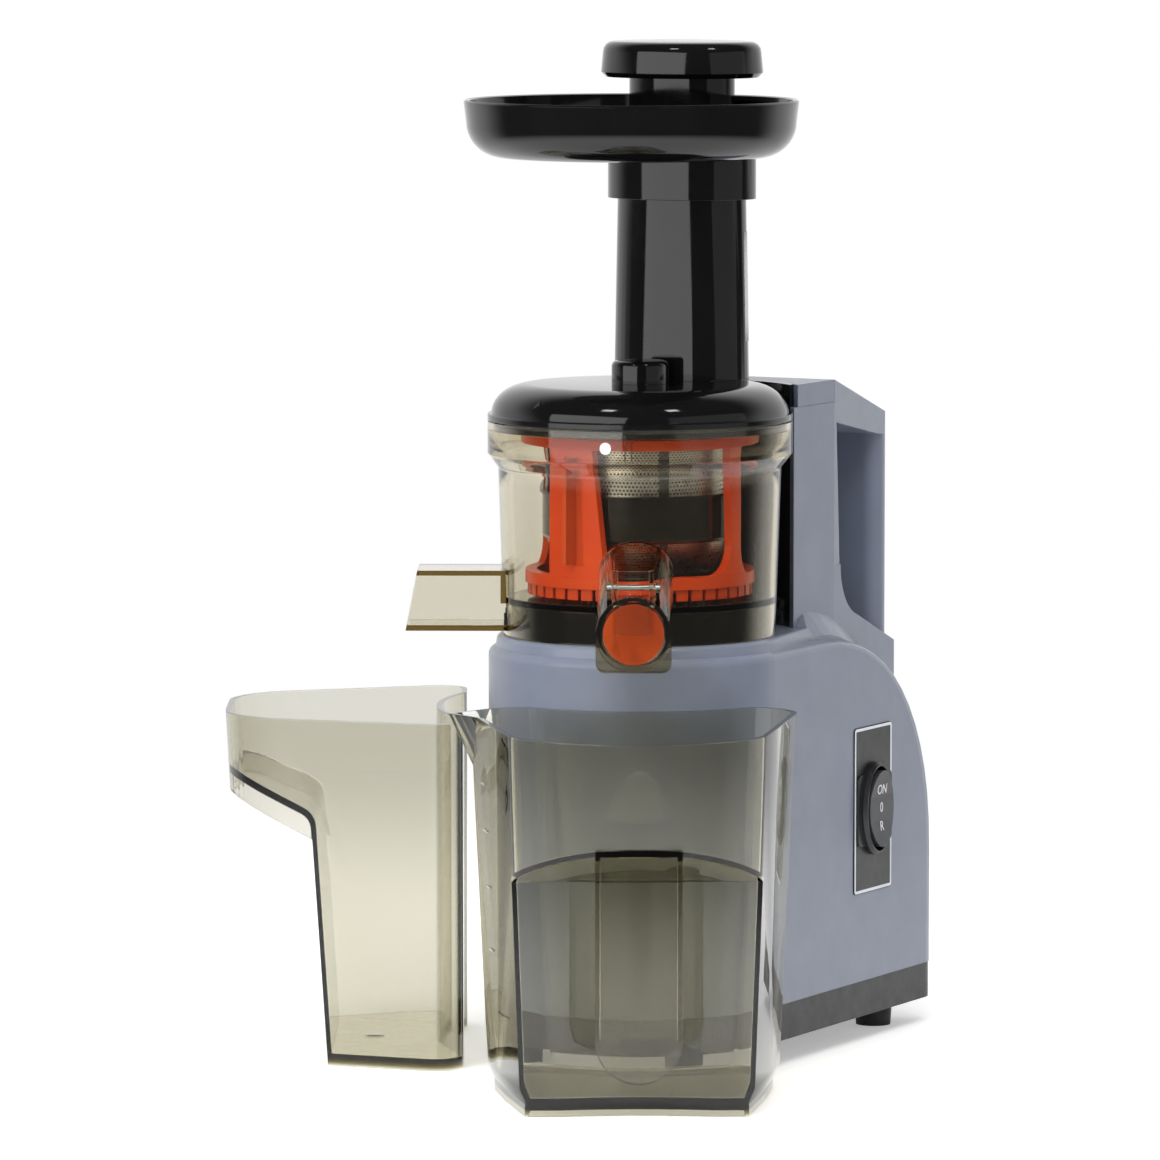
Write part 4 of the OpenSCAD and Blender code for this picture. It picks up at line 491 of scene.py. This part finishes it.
@dataclass
class Assembly:
    """A group of pieces that is dressed and detailed together."""

    frame: dict
    title: str = "assembly"
    finishes: dict[str, Finish] = field(default_factory=dict)

    def dress(self) -> None:
        """Give each carried-over CAD node its finish."""
        for node, finish in self.finishes.items():
            shown = self.frame["nodes"][node]
            shown.data.materials.clear()
            shown.data.materials.append(finish.material())
            log.info("%s: %s takes %s", self.title, node, finish.name)

    def build(self) -> None:
        """Dress the nodes and add the pieces of the group."""
        self.dress()
        self.detail()

    def detail(self) -> None:
        """Add the pieces that the CAD nodes leave out."""

    def refined(
        self, node: str, body: Body, slot: Slot, finish: Finish, crease: float = 32.0
    ) -> bpy.types.Object:
        """Stand a merged, smooth shaded copy in for a faceted CAD node.

        Args:
            node: name of the CAD node.
            body: body that the copy rides on.
            slot: material slot of the record; not used.
            finish: finish of the copy.
            crease: angle in degrees past which an edge stays sharp.

        Returns:
            The new object.
        """
        work = bmesh.new()
        work.from_mesh(self.frame["nodes"][node].data)
        bmesh.ops.remove_doubles(work, verts=work.verts, dist=WELD)
        bmesh.ops.dissolve_degenerate(work, dist=SLIVER, edges=work.edges)
        for face in work.faces:
            face.smooth = True
            face.material_index = 0
        for edge in work.edges:
            turn = edge.calc_face_angle(0.0) if edge.is_manifold else math.pi
            edge.smooth = turn < math.radians(crease)
        made = self.add(f"{node}_moulding", work, body, slot, finish)
        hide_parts(node)
        return made

    def surface(self, node: str) -> BVHTree:
        """Search tree over a CAD node's faces."""
        work = bmesh.new()
        work.from_mesh(self.frame["nodes"][node].data)
        tree = BVHTree.FromBMesh(work)
        work.free()
        return tree

    def laid_on(
        self, work: bmesh.types.BMesh, node: str, way: Vector | None, lift: float, thick: float
    ) -> None:
        """Lay a flat or curved sheet on a node's surface and give it thickness.

        Args:
            work: sheet that hangs just outside the surface, in place.
            node: CAD node that carries it.
            way: direction in which its points are pressed on, or None for straight to the upright axis.
            lift: gap under the sheet in millimetres.
            thick: thickness of the sheet in millimetres.
        """
        tree = self.surface(node)
        for vert in work.verts:
            along = way or Vector((-vert.co.x, -vert.co.y, 0.0)).normalized()
            hit = tree.ray_cast(vert.co, along, REACH)[0]
            if hit is None:
                raise ValueError(f"a point of a print misses {node}")
            vert.co = hit - along * lift * MM
        work.faces.ensure_lookup_table()
        middle = work.faces[0].calc_center_median()
        self.thicken(work, -(way or Vector((-middle.x, -middle.y, 0.0))), thick)

    def thicken(self, work: bmesh.types.BMesh, out: Vector, thick: float) -> None:
        """Turn a laid sheet's faces outwards and give it thickness on that side.

        Args:
            work: the sheet.
            out: the way out of the surface at its first face.
            thick: thickness in millimetres.
        """
        bmesh.ops.recalc_face_normals(work, faces=work.faces)
        work.faces.ensure_lookup_table()
        if work.faces[0].normal.dot(out) < 0:
            bmesh.ops.reverse_faces(work, faces=work.faces)
        bmesh.ops.solidify(work, geom=work.faces[:], thickness=-thick * MM)

    def lettering(self, text: str, height: float, place: Matrix) -> bmesh.types.BMesh:
        """Flat letters with a given cap height, centred on a place.

        Args:
            text: letters.
            height: cap height in millimetres.
            place: matrix of the middle of the text.

        Returns:
            A bmesh of filled letters.
        """
        curve = bpy.data.curves.new("letters", "FONT")
        curve.body = text
        curve.align_x = "CENTER"
        curve.align_y = "CENTER"
        curve.size = height * MM / CAP_SHARE
        curve.offset = INK_SPREAD * MM
        holder = bpy.data.objects.new("letters", curve)
        bpy.context.scene.collection.objects.link(holder)
        graph = bpy.context.evaluated_depsgraph_get()
        flat = bpy.data.meshes.new_from_object(holder.evaluated_get(graph))
        work = bmesh.new()
        work.from_mesh(flat)
        bpy.data.objects.remove(holder)
        bpy.data.curves.remove(curve)
        bpy.data.meshes.remove(flat)
        bmesh.ops.remove_doubles(work, verts=work.verts, dist=SLIVER)
        bmesh.ops.transform(work, matrix=place, verts=work.verts)
        return work

    def plate(
        self, wide: float, high: float, round_by: float, place: Matrix, cuts: int = 0
    ) -> bmesh.types.BMesh:
        """Flat plate with round corners.

        Args:
            wide: width in millimetres.
            high: height in millimetres.
            round_by: corner radius in millimetres.
            place: matrix of its middle.
            cuts: number of times that its edges are cut, so that it can follow a curve.

        Returns:
            A bmesh of one filled plate.
        """
        work = bmesh.new()
        bmesh.ops.create_grid(work, x_segments=1, y_segments=1, size=0.5)
        bmesh.ops.scale(work, vec=(wide * MM, high * MM, 1.0), verts=work.verts)
        if round_by:
            bmesh.ops.bevel(
                work, geom=work.verts[:], offset=round_by * MM, offset_type="OFFSET",
                segments=6, profile=0.5, affect="VERTICES", material=-1,
            )
        if cuts:
            bmesh.ops.triangulate(work, faces=work.faces[:])
            bmesh.ops.subdivide_edges(work, edges=work.edges[:], cuts=cuts, use_grid_fill=True)
        bmesh.ops.transform(work, matrix=place, verts=work.verts)
        return work

    def add(
        self, name: str, work: bmesh.types.BMesh, body: Body, slot: Slot, finish: Finish, smooth: bool = False
    ) -> bpy.types.Object:
        """Put a finished bmesh in the scene, on its body and with its finish.

        Args:
            name: name of the piece.
            work: its shape, freed here.
            body: body that it rides on.
            slot: material slot of the record; not used.
            finish: finish of its surface.
            smooth: whether its faces are shaded smooth.

        Returns:
            The new object.
        """
        if smooth:
            for face in work.faces:
                face.smooth = True
        mesh = bpy.data.meshes.new(name)
        work.to_mesh(mesh)
        work.free()
        mesh.materials.append(finish.material())
        made = bpy.data.objects.new(name, mesh)
        bpy.context.scene.collection.objects.link(made)
        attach(made, body.value)
        log.info("%s: %s rides on %s", self.title, name, body.value)
        return made


@dataclass
class BaseUnit(Assembly):
    """Lacquered housing with its column, cap, black inlays, feet and cord grommet."""

    title: str = "base unit"
    finishes: dict[str, Finish] = field(
        default_factory=lambda: {
            "housing": LACQUER, "column_cap": LACQUER, "bottom_cover": SATIN_BLACK,
            "feet": RUBBER, "bottom_screws": GROUND_STEEL, "cord_grommet": RUBBER,
            "column_panel": GLOSS_BLACK, "bowl_seat": GLOSS_BLACK,
        }
    )


@dataclass
class SwitchUnit(Assembly):
    """Three-way rocker in its bezel, on a plate with a printed border."""

    title: str = "switch"
    finishes: dict[str, Finish] = field(
        default_factory=lambda: {
            "switch_plate": PLATE_GREY, "switch_bezel": BEZEL_BLACK,
            "switch_body": BEZEL_BLACK, "rocker": ROCKER_GREY,
        }
    )
    y: float = 92.9
    z: float = 100.0
    border: tuple[float, float] = (35.8, 70.8)
    border_round: float = 1.4
    line: float = 1.2
    cap_height: float = 4.2
    stand_off: float = 4.0
    marks: tuple[tuple[str, float], ...] = (("ON", 108.2), ("0", 100.4), ("R", 92.4))

    def detail(self) -> None:
        """Print the border on the plate and the marks on the rocker."""
        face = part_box("switch_plate")[1][0] / MM
        place = turned(90, (face + self.stand_off, self.y, self.z))
        border = self.plate(*self.border, self.border_round, place)
        bmesh.ops.inset_individual(
            border, faces=border.faces[:], thickness=self.line * MM, use_even_offset=True
        )
        middle = max(border.faces, key=lambda f: f.calc_area())
        bmesh.ops.delete(border, geom=[middle], context="FACES_ONLY")
        self.laid_on(border, "switch_plate", Vector((-1, 0, 0)), lift=0.0, thick=0.05)
        self.add("switch_border", border, Body.BASE, Slot.PLATE, WHITE_INK)
        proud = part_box("rocker")[1][0] / MM + self.stand_off
        for text, z in self.marks:
            work = self.lettering(text, self.cap_height, turned(90, (proud, self.y, z)))
            bmesh.ops.subdivide_edges(work, edges=work.edges[:], cuts=1)
            self.laid_on(work, "rocker", Vector((-1, 0, 0)), lift=0.02, thick=0.05)
            self.add(f"rocker_mark_{text.lower()}", work, Body.ROCKER, Slot.ROCKER, WHITE_INK)


@dataclass
class DriveTrain(Assembly):
    """Motor, reduction gears and output shaft inside the housing."""

    title: str = "drive train"
    finishes: dict[str, Finish] = field(
        default_factory=lambda: {
            "run_capacitor": CAST_ALUMINIUM, "motor_stator": LAMINATIONS, "motor_windings": COPPER,
            "motor_end_upper": CAST_ALUMINIUM, "motor_end_lower": CAST_ALUMINIUM,
            "motor_bushes": BRONZE, "motor_bolts": GROUND_STEEL, "rotor_core": LAMINATIONS,
            "rotor_shaft": GROUND_STEEL, "motor_pinion": GROUND_STEEL, "cooling_fan": FAN_PLASTIC,
            "gearbox_case": CAST_ALUMINIUM, "gearbox_lid": CAST_ALUMINIUM,
            "gearbox_screws": GROUND_STEEL, "compound_axle": GROUND_STEEL, "compound_gear": NYLON,
            "output_gear": NYLON, "output_shaft": GROUND_STEEL, "output_bushes": BRONZE,
            "shaft_seal": RUBBER,
        }
    )


@dataclass
class Bowl(Assembly):
    """Smoky bowl with its chute, outlet, flap cap and hub parts."""

    title: str = "bowl"
    finishes: dict[str, Finish] = field(
        default_factory=lambda: {
            "hub_seal": SILICONE_GREY, "pulp_plug": RUBBER, "idler_pin": GROUND_STEEL,
            "idler_gear": NYLON, "cap_pin": GROUND_STEEL, "juice_cap_seal": ORANGE_SOFT,
        }
    )
    dot_angle: float = 14.65
    dot_z: float = 263.4
    dot_d: float = 5.0
    rim_r: float = 64.0
    stand_off: float = 3.0
    rib_angles: tuple[float, float] = (22.0, 24.4)
    rib: tuple[float, float] = (0.5, 11.0)

    def detail(self) -> None:
        """Mould the clear pieces, then add the alignment dot and the ribs beside it."""
        self.refined("bowl", Body.BOWL, Slot.SMOKE, SMOKE_BOWL)
        self.refined("juice_cap", Body.JUICE_CAP, Slot.SMOKE, SMOKE_BOWL)
        self.print_dot()
        for i, angle in enumerate(self.rib_angles):
            rib = self.plate(*self.rib, round_by=0.0, place=self.before_rim(angle), cuts=2)
            self.laid_on(rib, "bowl", None, lift=0.0, thick=0.35)
            self.add(f"rim_rib_{i}", rib, Body.BOWL, Slot.SMOKE, SMOKE_BOWL)

    def before_rim(self, angle: float) -> Matrix:
        """Matrix of a flat piece just before the rim, by an angle in degrees from the front."""
        f, reach = math.radians(angle), self.rim_r + self.stand_off
        return turned(angle, (reach * math.sin(f), -reach * math.cos(f), self.dot_z))

    def print_dot(self) -> None:
        """Print the round dot that the lid is lined up with on the rim."""
        work = bmesh.new()
        bmesh.ops.create_circle(work, cap_ends=True, cap_tris=True, segments=48, radius=self.dot_d / 2 * MM)
        bmesh.ops.subdivide_edges(work, edges=work.edges[:], cuts=2)
        bmesh.ops.transform(work, matrix=self.before_rim(self.dot_angle), verts=work.verts)
        self.laid_on(work, "bowl", None, lift=0.02, thick=0.06)
        self.add("alignment_dot", work, Body.BOWL, Slot.SMOKE, WHITE_INK)


@dataclass
class PressUnit(Assembly):
    """Strainer, spinning brush and auger that sit in the bowl."""

    title: str = "press unit"
    finishes: dict[str, Finish] = field(
        default_factory=lambda: {
            "strainer_frame": STRAINER, "strainer_mesh_upper": MESH_UPPER, "strainer_mesh_lower": MESH_LOWER,
            "brush_frame": ORANGE, "brush_blades": ORANGE_SOFT, "auger_screw": AUGER,
            "auger_spindle": AUGER, "auger_gear": AUGER,
        }
    )


@dataclass
class FeedHead(Assembly):
    """Lid with its tube, the feed tray and the pusher."""

    title: str = "feed head"
    finishes: dict[str, Finish] = field(default_factory=lambda: {"lid_seal": SILICONE_GREY})
    tube_y: float = 38.0
    # Where the pale strip of painted highlight lies on the tube's side, in millimetres and degrees
    highlight_low: float = 302.0
    highlight_high: float = 348.0
    highlight_turn: tuple[float, float] = (2.0, 62.0)
    highlight_reach: float = 60.0
    highlight_lift: float = 0.03
    arrow: float = 3.4
    arrow_shape: tuple[float, float, float] = (0.6, 1.2, 1.0)
    arrow_high: float = 300.0
    arrows: tuple[tuple[float, float, float], ...] = ((-17.8, -57.3, 17.0), (41.7, -28.1, 56.0))

    def detail(self) -> None:
        """Mould the glossy pieces, then add the pale strip of painted highlight on the tube and the turning
        arrows.
        """
        for node, body in (
            ("lid", Body.LID), ("feed_tray", Body.TRAY),
            ("pusher_cap", Body.PUSHER), ("pusher_stem", Body.PUSHER),
        ):
            self.refined(node, body, Slot.BLACK, GLOSS_BLACK)
        self.painted_highlight_strip()
        for i, (x, y, turn) in enumerate(self.arrows):
            self.turning_arrow(f"lid_arrow_{i}", x, y, turn)

    def painted_highlight_strip(self) -> None:
        """Lay a pale strip round the side of the tube as a painted highlight."""
        low, high = (math.radians(a) for a in self.highlight_turn)
        reach = self.highlight_reach * MM
        work = bmesh.new()
        bmesh.ops.create_grid(work, x_segments=16, y_segments=4, size=0.5)
        tree = self.surface("lid")
        for vert in work.verts:
            turn = low + (vert.co.x + 0.5) * (high - low)
            z = (self.highlight_low + (vert.co.y + 0.5) * (self.highlight_high - self.highlight_low)) * MM
            out = Vector((math.cos(turn), math.sin(turn), 0.0))
            start = Vector((0.0, self.tube_y * MM, z)) + out * reach
            hit = tree.ray_cast(start, -out, reach)[0]
            vert.co = hit + out * self.highlight_lift * MM
        self.thicken(work, Vector((1.0, 0.0, 0.0)), thick=0.1)
        # The pale strip is a painted highlight down the side of the black tube
        self.add("painted_highlight_strip", work, Body.LID, Slot.BLACK, PAINTED_HIGHLIGHT, True)

    def turning_arrow(self, name: str, x: float, y: float, turn: float) -> None:
        """Raise a small arrow on the lid's slope."""
        work = bmesh.new()
        bmesh.ops.create_circle(work, cap_ends=True, segments=3, radius=self.arrow / 2 * MM)
        bmesh.ops.scale(work, vec=self.arrow_shape, verts=work.verts)
        swing = Matrix.Rotation(math.radians(turn + 90), 3, "Z")
        bmesh.ops.rotate(work, verts=work.verts, cent=(0, 0, 0), matrix=swing)
        bmesh.ops.translate(work, verts=work.verts, vec=Vector((x, y, self.arrow_high)) * MM)
        self.laid_on(work, "lid", Vector((0, 0, -1)), lift=0.0, thick=0.4)
        self.add(name, work, Body.LID, Slot.BLACK, SATIN_BLACK)


@dataclass
class JuiceJug(Assembly):
    """Loose jug under the outlet, with raised graduation marks."""

    title: str = "juice jug"
    facing: float = -51.0
    stand_off: float = 5.0
    tick: tuple[float, float] = (8.0, 0.8)
    tick_round: float = 0.3
    ticks: tuple[tuple[float, float, float], ...] = (
        (-9.5, -119.8, 129.3), (-7.7, -121.0, 110.2), (-5.5, -122.4, 87.4), (-3.6, -123.4, 61.7),
    )

    def detail(self) -> None:
        """Mould the jug and raise its graduation marks."""
        self.refined("juice_jug", Body.JUG, Slot.SMOKE, SMOKE_TUB)
        f = math.radians(self.facing)
        out = Vector((math.sin(f), -math.cos(f), 0.0))
        for i, (x, y, z) in enumerate(self.ticks):
            start = (x + out.x * self.stand_off, y + out.y * self.stand_off, z)
            work = self.plate(*self.tick, self.tick_round, turned(self.facing, start))
            self.laid_on(work, "juice_jug", -out, lift=0.0, thick=0.5)
            self.add(f"graduation_{i}", work, Body.JUG, Slot.SMOKE, SMOKE_TUB)


@dataclass
class PulpContainer(Assembly):
    """Loose pulp container under the chute, with its moulding gate mark."""

    title: str = "pulp container"
    gate: tuple[float, float, float] = (-114.2, -25.0, 30.0)
    gate_d: float = 9.0

    def detail(self) -> None:
        """Mould the container and add the gate mark on its floor."""
        self.refined("pulp_container", Body.PULP, Slot.SMOKE, SMOKE_TUB)
        work = bmesh.new()
        bmesh.ops.create_circle(work, cap_ends=True, cap_tris=True, segments=40, radius=self.gate_d / 2 * MM)
        bmesh.ops.translate(work, verts=work.verts, vec=Vector(self.gate) * MM)
        self.laid_on(work, "pulp_container", Vector((0, 0, -1)), lift=0.0, thick=0.5)
        self.add("gate_mark", work, Body.PULP, Slot.SMOKE, SMOKE_TUB, True)


# ---------------------------------------------------------------- studio


@dataclass(frozen=True)
class Softbox:
    """A rectangular lamp round the object, with its sizes in metres.

    The angle is in degrees from the camera towards its right. Mirrored lamps show in glossy surfaces.
    """

    name: str
    angle: float
    reach: float
    height: float
    size: tuple[float, float]
    watts: float
    mirrored: bool = True


# A wide key at the left, a weak fill at the right, a matt top light, and two small lamps for glints
SOFTBOXES = (
    Softbox("key_softbox", -43.0, 1.9, 0.66, (2.3, 1.2), 18.5),
    Softbox("fill_softbox", 56.0, 2.0, 0.66, (2.6, 1.2), 3.5),
    Softbox("top_softbox", -12.0, 1.2, 2.0, (1.8, 1.8), 38.0, False),
    Softbox("high_lamp_left", -35.0, 1.1, 1.9, (0.25, 0.25), 2.5),
    Softbox("high_lamp_right", 35.0, 1.1, 1.9, (0.25, 0.25), 2.5),
)


@dataclass
class Studio:
    """Camera, floor, soft lamps and a white surround.

    A rise is where a brightness goes from dark to white: along the way from the camera's side to the
    backdrop, as a share of that way for directions and in metres for places on the floor.
    """

    camera_at: tuple[float, float, float] = (1.548, -2.965, 0.531)
    camera_turn: tuple[float, float, float] = (84.4, 0.0, 28.0)
    lens_mm: float = 248.3
    aim: tuple[float, float, float] = (0.0, 0.0, 0.2)
    ambient: float = 0.35
    ambient_rise: tuple[float, float] = (-0.2, 1.0)
    dark_side: float = 0.06
    mirror_rise: tuple[float, float] = (-0.25, 0.3)
    dip: float = 37.0
    dark_floor: float = 0.1
    floor_mirror_rise: tuple[float, float] = (0.1, 0.6)
    floor_ambient_rise: tuple[float, float] = (-1.0, 3.0)
    floor_half: float = 12.0
    floor_glow: float = 0.35
    floor_fade: tuple[float, float] = (0.45, 1.0)

    def place_camera(self) -> None:
        """Set the camera to the viewing angle."""
        data = bpy.data.cameras.new("camera")
        data.sensor_width = 36.0
        data.lens = self.lens_mm
        data.clip_end = 60.0
        made = bpy.data.objects.new("camera", data)
        made.location = self.camera_at
        made.rotation_euler = [math.radians(a) for a in self.camera_turn]
        bpy.context.scene.collection.objects.link(made)
        bpy.context.scene.camera = made

    def hang(self, lamp: Softbox) -> None:
        """Hang one softbox in its place, facing the object."""
        f = math.radians(self.camera_turn[2] + lamp.angle)
        at = Vector((math.sin(f) * lamp.reach, -math.cos(f) * lamp.reach, lamp.height))
        data = bpy.data.lights.new(lamp.name, "AREA")
        data.shape = "RECTANGLE"
        data.size, data.size_y = lamp.size
        data.energy = lamp.watts
        made = bpy.data.objects.new(lamp.name, data)
        made.location = at
        made.rotation_euler = (Vector(self.aim) - at).to_track_quat("-Z", "Y").to_euler()
        made.visible_glossy = lamp.mirrored
        bpy.context.scene.collection.objects.link(made)

    def surround(self) -> None:
        """Make a world that is white to the camera, and behind the object to reflections, dark before it."""
        world = bpy.data.worlds.new("white_surround")
        world.use_nodes = True
        tree = world.node_tree
        tree.nodes.clear()
        place = add_node(tree, "ShaderNodeTexCoord")
        away = self.behind(tree, place.outputs["Generated"], self.mirror_rise, self.dark_side, self.dip)
        around = self.behind(tree, place.outputs["Generated"], self.ambient_rise, self.ambient)
        strength = self.seen(tree, around, away)
        back = add_node(tree, "ShaderNodeBackground", {"Color": WHITE}, {"Strength": strength})
        add_node(tree, "ShaderNodeOutputWorld", {}, {"Surface": back.outputs[0]})
        bpy.context.scene.world = world

    def behind(
        self,
        tree: bpy.types.NodeTree,
        place: bpy.types.NodeSocket,
        span: tuple[float, float],
        dark: float,
        dip: float = 0.0,
    ) -> bpy.types.NodeSocket:
        """Brightness that rises from the dark half before the object to the white backdrop behind it.

        Args:
            tree: node tree that takes the nodes.
            place: direction or place, in the scene's own axes.
            span: where the rise starts and ends, along the way from the camera's side to the backdrop.
            dark: strength before the object.
            dip: angle in degrees by which the way points down, so that the ceiling stays dark too.

        Returns:
            A socket that runs from the dark strength to one.
        """
        f, down = math.radians(self.camera_turn[2]), math.radians(dip)
        way = (-math.sin(f) * math.cos(down), math.cos(f) * math.cos(down), -math.sin(down))
        along = add_node(tree, "ShaderNodeVectorMath", {"operation": "DOT_PRODUCT", 1: way}, {0: place})
        return add_node(
            tree,
            "ShaderNodeMapRange",
            {
                "interpolation_type": "SMOOTHSTEP", "From Min": span[0], "From Max": span[1],
                "To Min": dark, "To Max": 1.0,
            },
            {"Value": along.outputs["Value"]},
        ).outputs["Result"]

    def seen(
        self,
        tree: bpy.types.NodeTree,
        plain: bpy.types.NodeSocket | None,
        mirrored: bpy.types.NodeSocket | None,
        shown: float = 1.0,
    ) -> bpy.types.NodeSocket:
        """Strength of the surround for each kind of ray.

        Args:
            tree: node tree that takes the nodes.
            plain: strength for the light on matt surfaces, or None for none.
            mirrored: strength in reflections, also inside clear walls, or None for the shown one.
            shown: strength for the camera, and straight through clear walls.

        Returns:
            The chosen strength.
        """

        def choose(way: bpy.types.NodeSocket, below: object, above: object) -> bpy.types.NodeSocket:
            """Take the second of two strengths where a socket is one or more, and the first elsewhere."""
            numbers, sockets = parted({2: below, 3: above})
            return add_node(tree, "ShaderNodeMix", numbers, {0: way, **sockets}).outputs[0]

        path = add_node(tree, "ShaderNodeLightPath").outputs
        turned_back = add_node(
            tree, "ShaderNodeMath", {"operation": "ADD"}, {0: path["Glossy Depth"], 1: path["Diffuse Depth"]}
        )
        matt = choose(path["Is Glossy Ray"], plain or 0.0, mirrored or shown)
        clear = choose(turned_back.outputs[0], shown, mirrored or shown)
        return choose(path["Is Camera Ray"], choose(path["Is Transmission Ray"], matt, clear), shown)

    def paper(self) -> bpy.types.Material:
        """Make the floor's white paper, which is matt near the object and a plain white light far off."""
        material = bpy.data.materials.new("white_paper")
        material.use_nodes = True
        tree = material.node_tree
        tree.nodes.clear()
        place = add_node(tree, "ShaderNodeTexCoord")
        fibre = add_node(
            tree, "ShaderNodeTexNoise", {"Scale": per_mm(400.0)}, {"Vector": place.outputs["Object"]}
        )
        white = add_node(
            tree,
            "ShaderNodeMix",
            {"data_type": "RGBA", 6: linear("#f8f8f8"), 7: linear("#fafafa")},
            {0: fibre.outputs["Fac"]},
        )
        matt = add_node(tree, "ShaderNodeBsdfDiffuse", {}, {"Color": white.outputs[2]})
        way = add_node(tree, "ShaderNodeVectorMath", {"operation": "NORMALIZE"}, {0: place.outputs["Object"]})
        beyond = self.behind(tree, way.outputs[0], self.floor_mirror_rise, self.dark_floor)
        around = self.behind(tree, place.outputs["Object"], self.floor_ambient_rise, self.ambient)
        near, far = (
            add_node(tree, "ShaderNodeEmission", {"Color": WHITE}, {"Strength": strength})
            for strength in (self.seen(tree, None, None, self.floor_glow), self.seen(tree, around, beyond))
        )
        both = add_node(tree, "ShaderNodeAddShader", {}, {0: matt.outputs[0], 1: near.outputs[0]})
        reach = add_node(
            tree, "ShaderNodeVectorMath", {"operation": "LENGTH"}, {0: place.outputs["Object"]}
        )
        fade = add_node(
            tree,
            "ShaderNodeMapRange",
            {
                "interpolation_type": "SMOOTHSTEP",
                "From Min": self.floor_fade[0], "From Max": self.floor_fade[1],
            },
            {"Value": reach.outputs["Value"]},
        )
        sides = {0: fade.outputs["Result"], 1: both.outputs[0], 2: far.outputs[0]}
        surface = add_node(tree, "ShaderNodeMixShader", {}, sides)
        add_node(tree, "ShaderNodeOutputMaterial", {}, {"Surface": surface.outputs[0]})
        return material

    def lay_floor(self) -> None:
        """Lay a pale floor that keeps the object's shadow."""
        work = bmesh.new()
        bmesh.ops.create_grid(work, x_segments=1, y_segments=1, size=self.floor_half)
        mesh = bpy.data.meshes.new("floor")
        work.to_mesh(mesh)
        work.free()
        mesh.materials.append(self.paper())
        floor = bpy.data.objects.new("floor", mesh)
        bpy.context.scene.collection.objects.link(floor)

    def build(self) -> None:
        """Build the whole studio."""
        self.place_camera()
        for lamp in SOFTBOXES:
            self.hang(lamp)
        self.surround()
        self.lay_floor()
        bpy.context.scene.view_settings.view_transform = "Standard"
        log.info("studio is set")


def main() -> None:
    """Load the frame, build the studio, and dress and detail every sub-assembly."""
    logging.basicConfig(level=logging.INFO, format="%(name)s: %(message)s")
    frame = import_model()
    Studio().build()
    for group in (BaseUnit, SwitchUnit, DriveTrain, Bowl, PressUnit, FeedHead, JuiceJug, PulpContainer):
        group(frame).build()


if __name__ == "__main__":
    main()
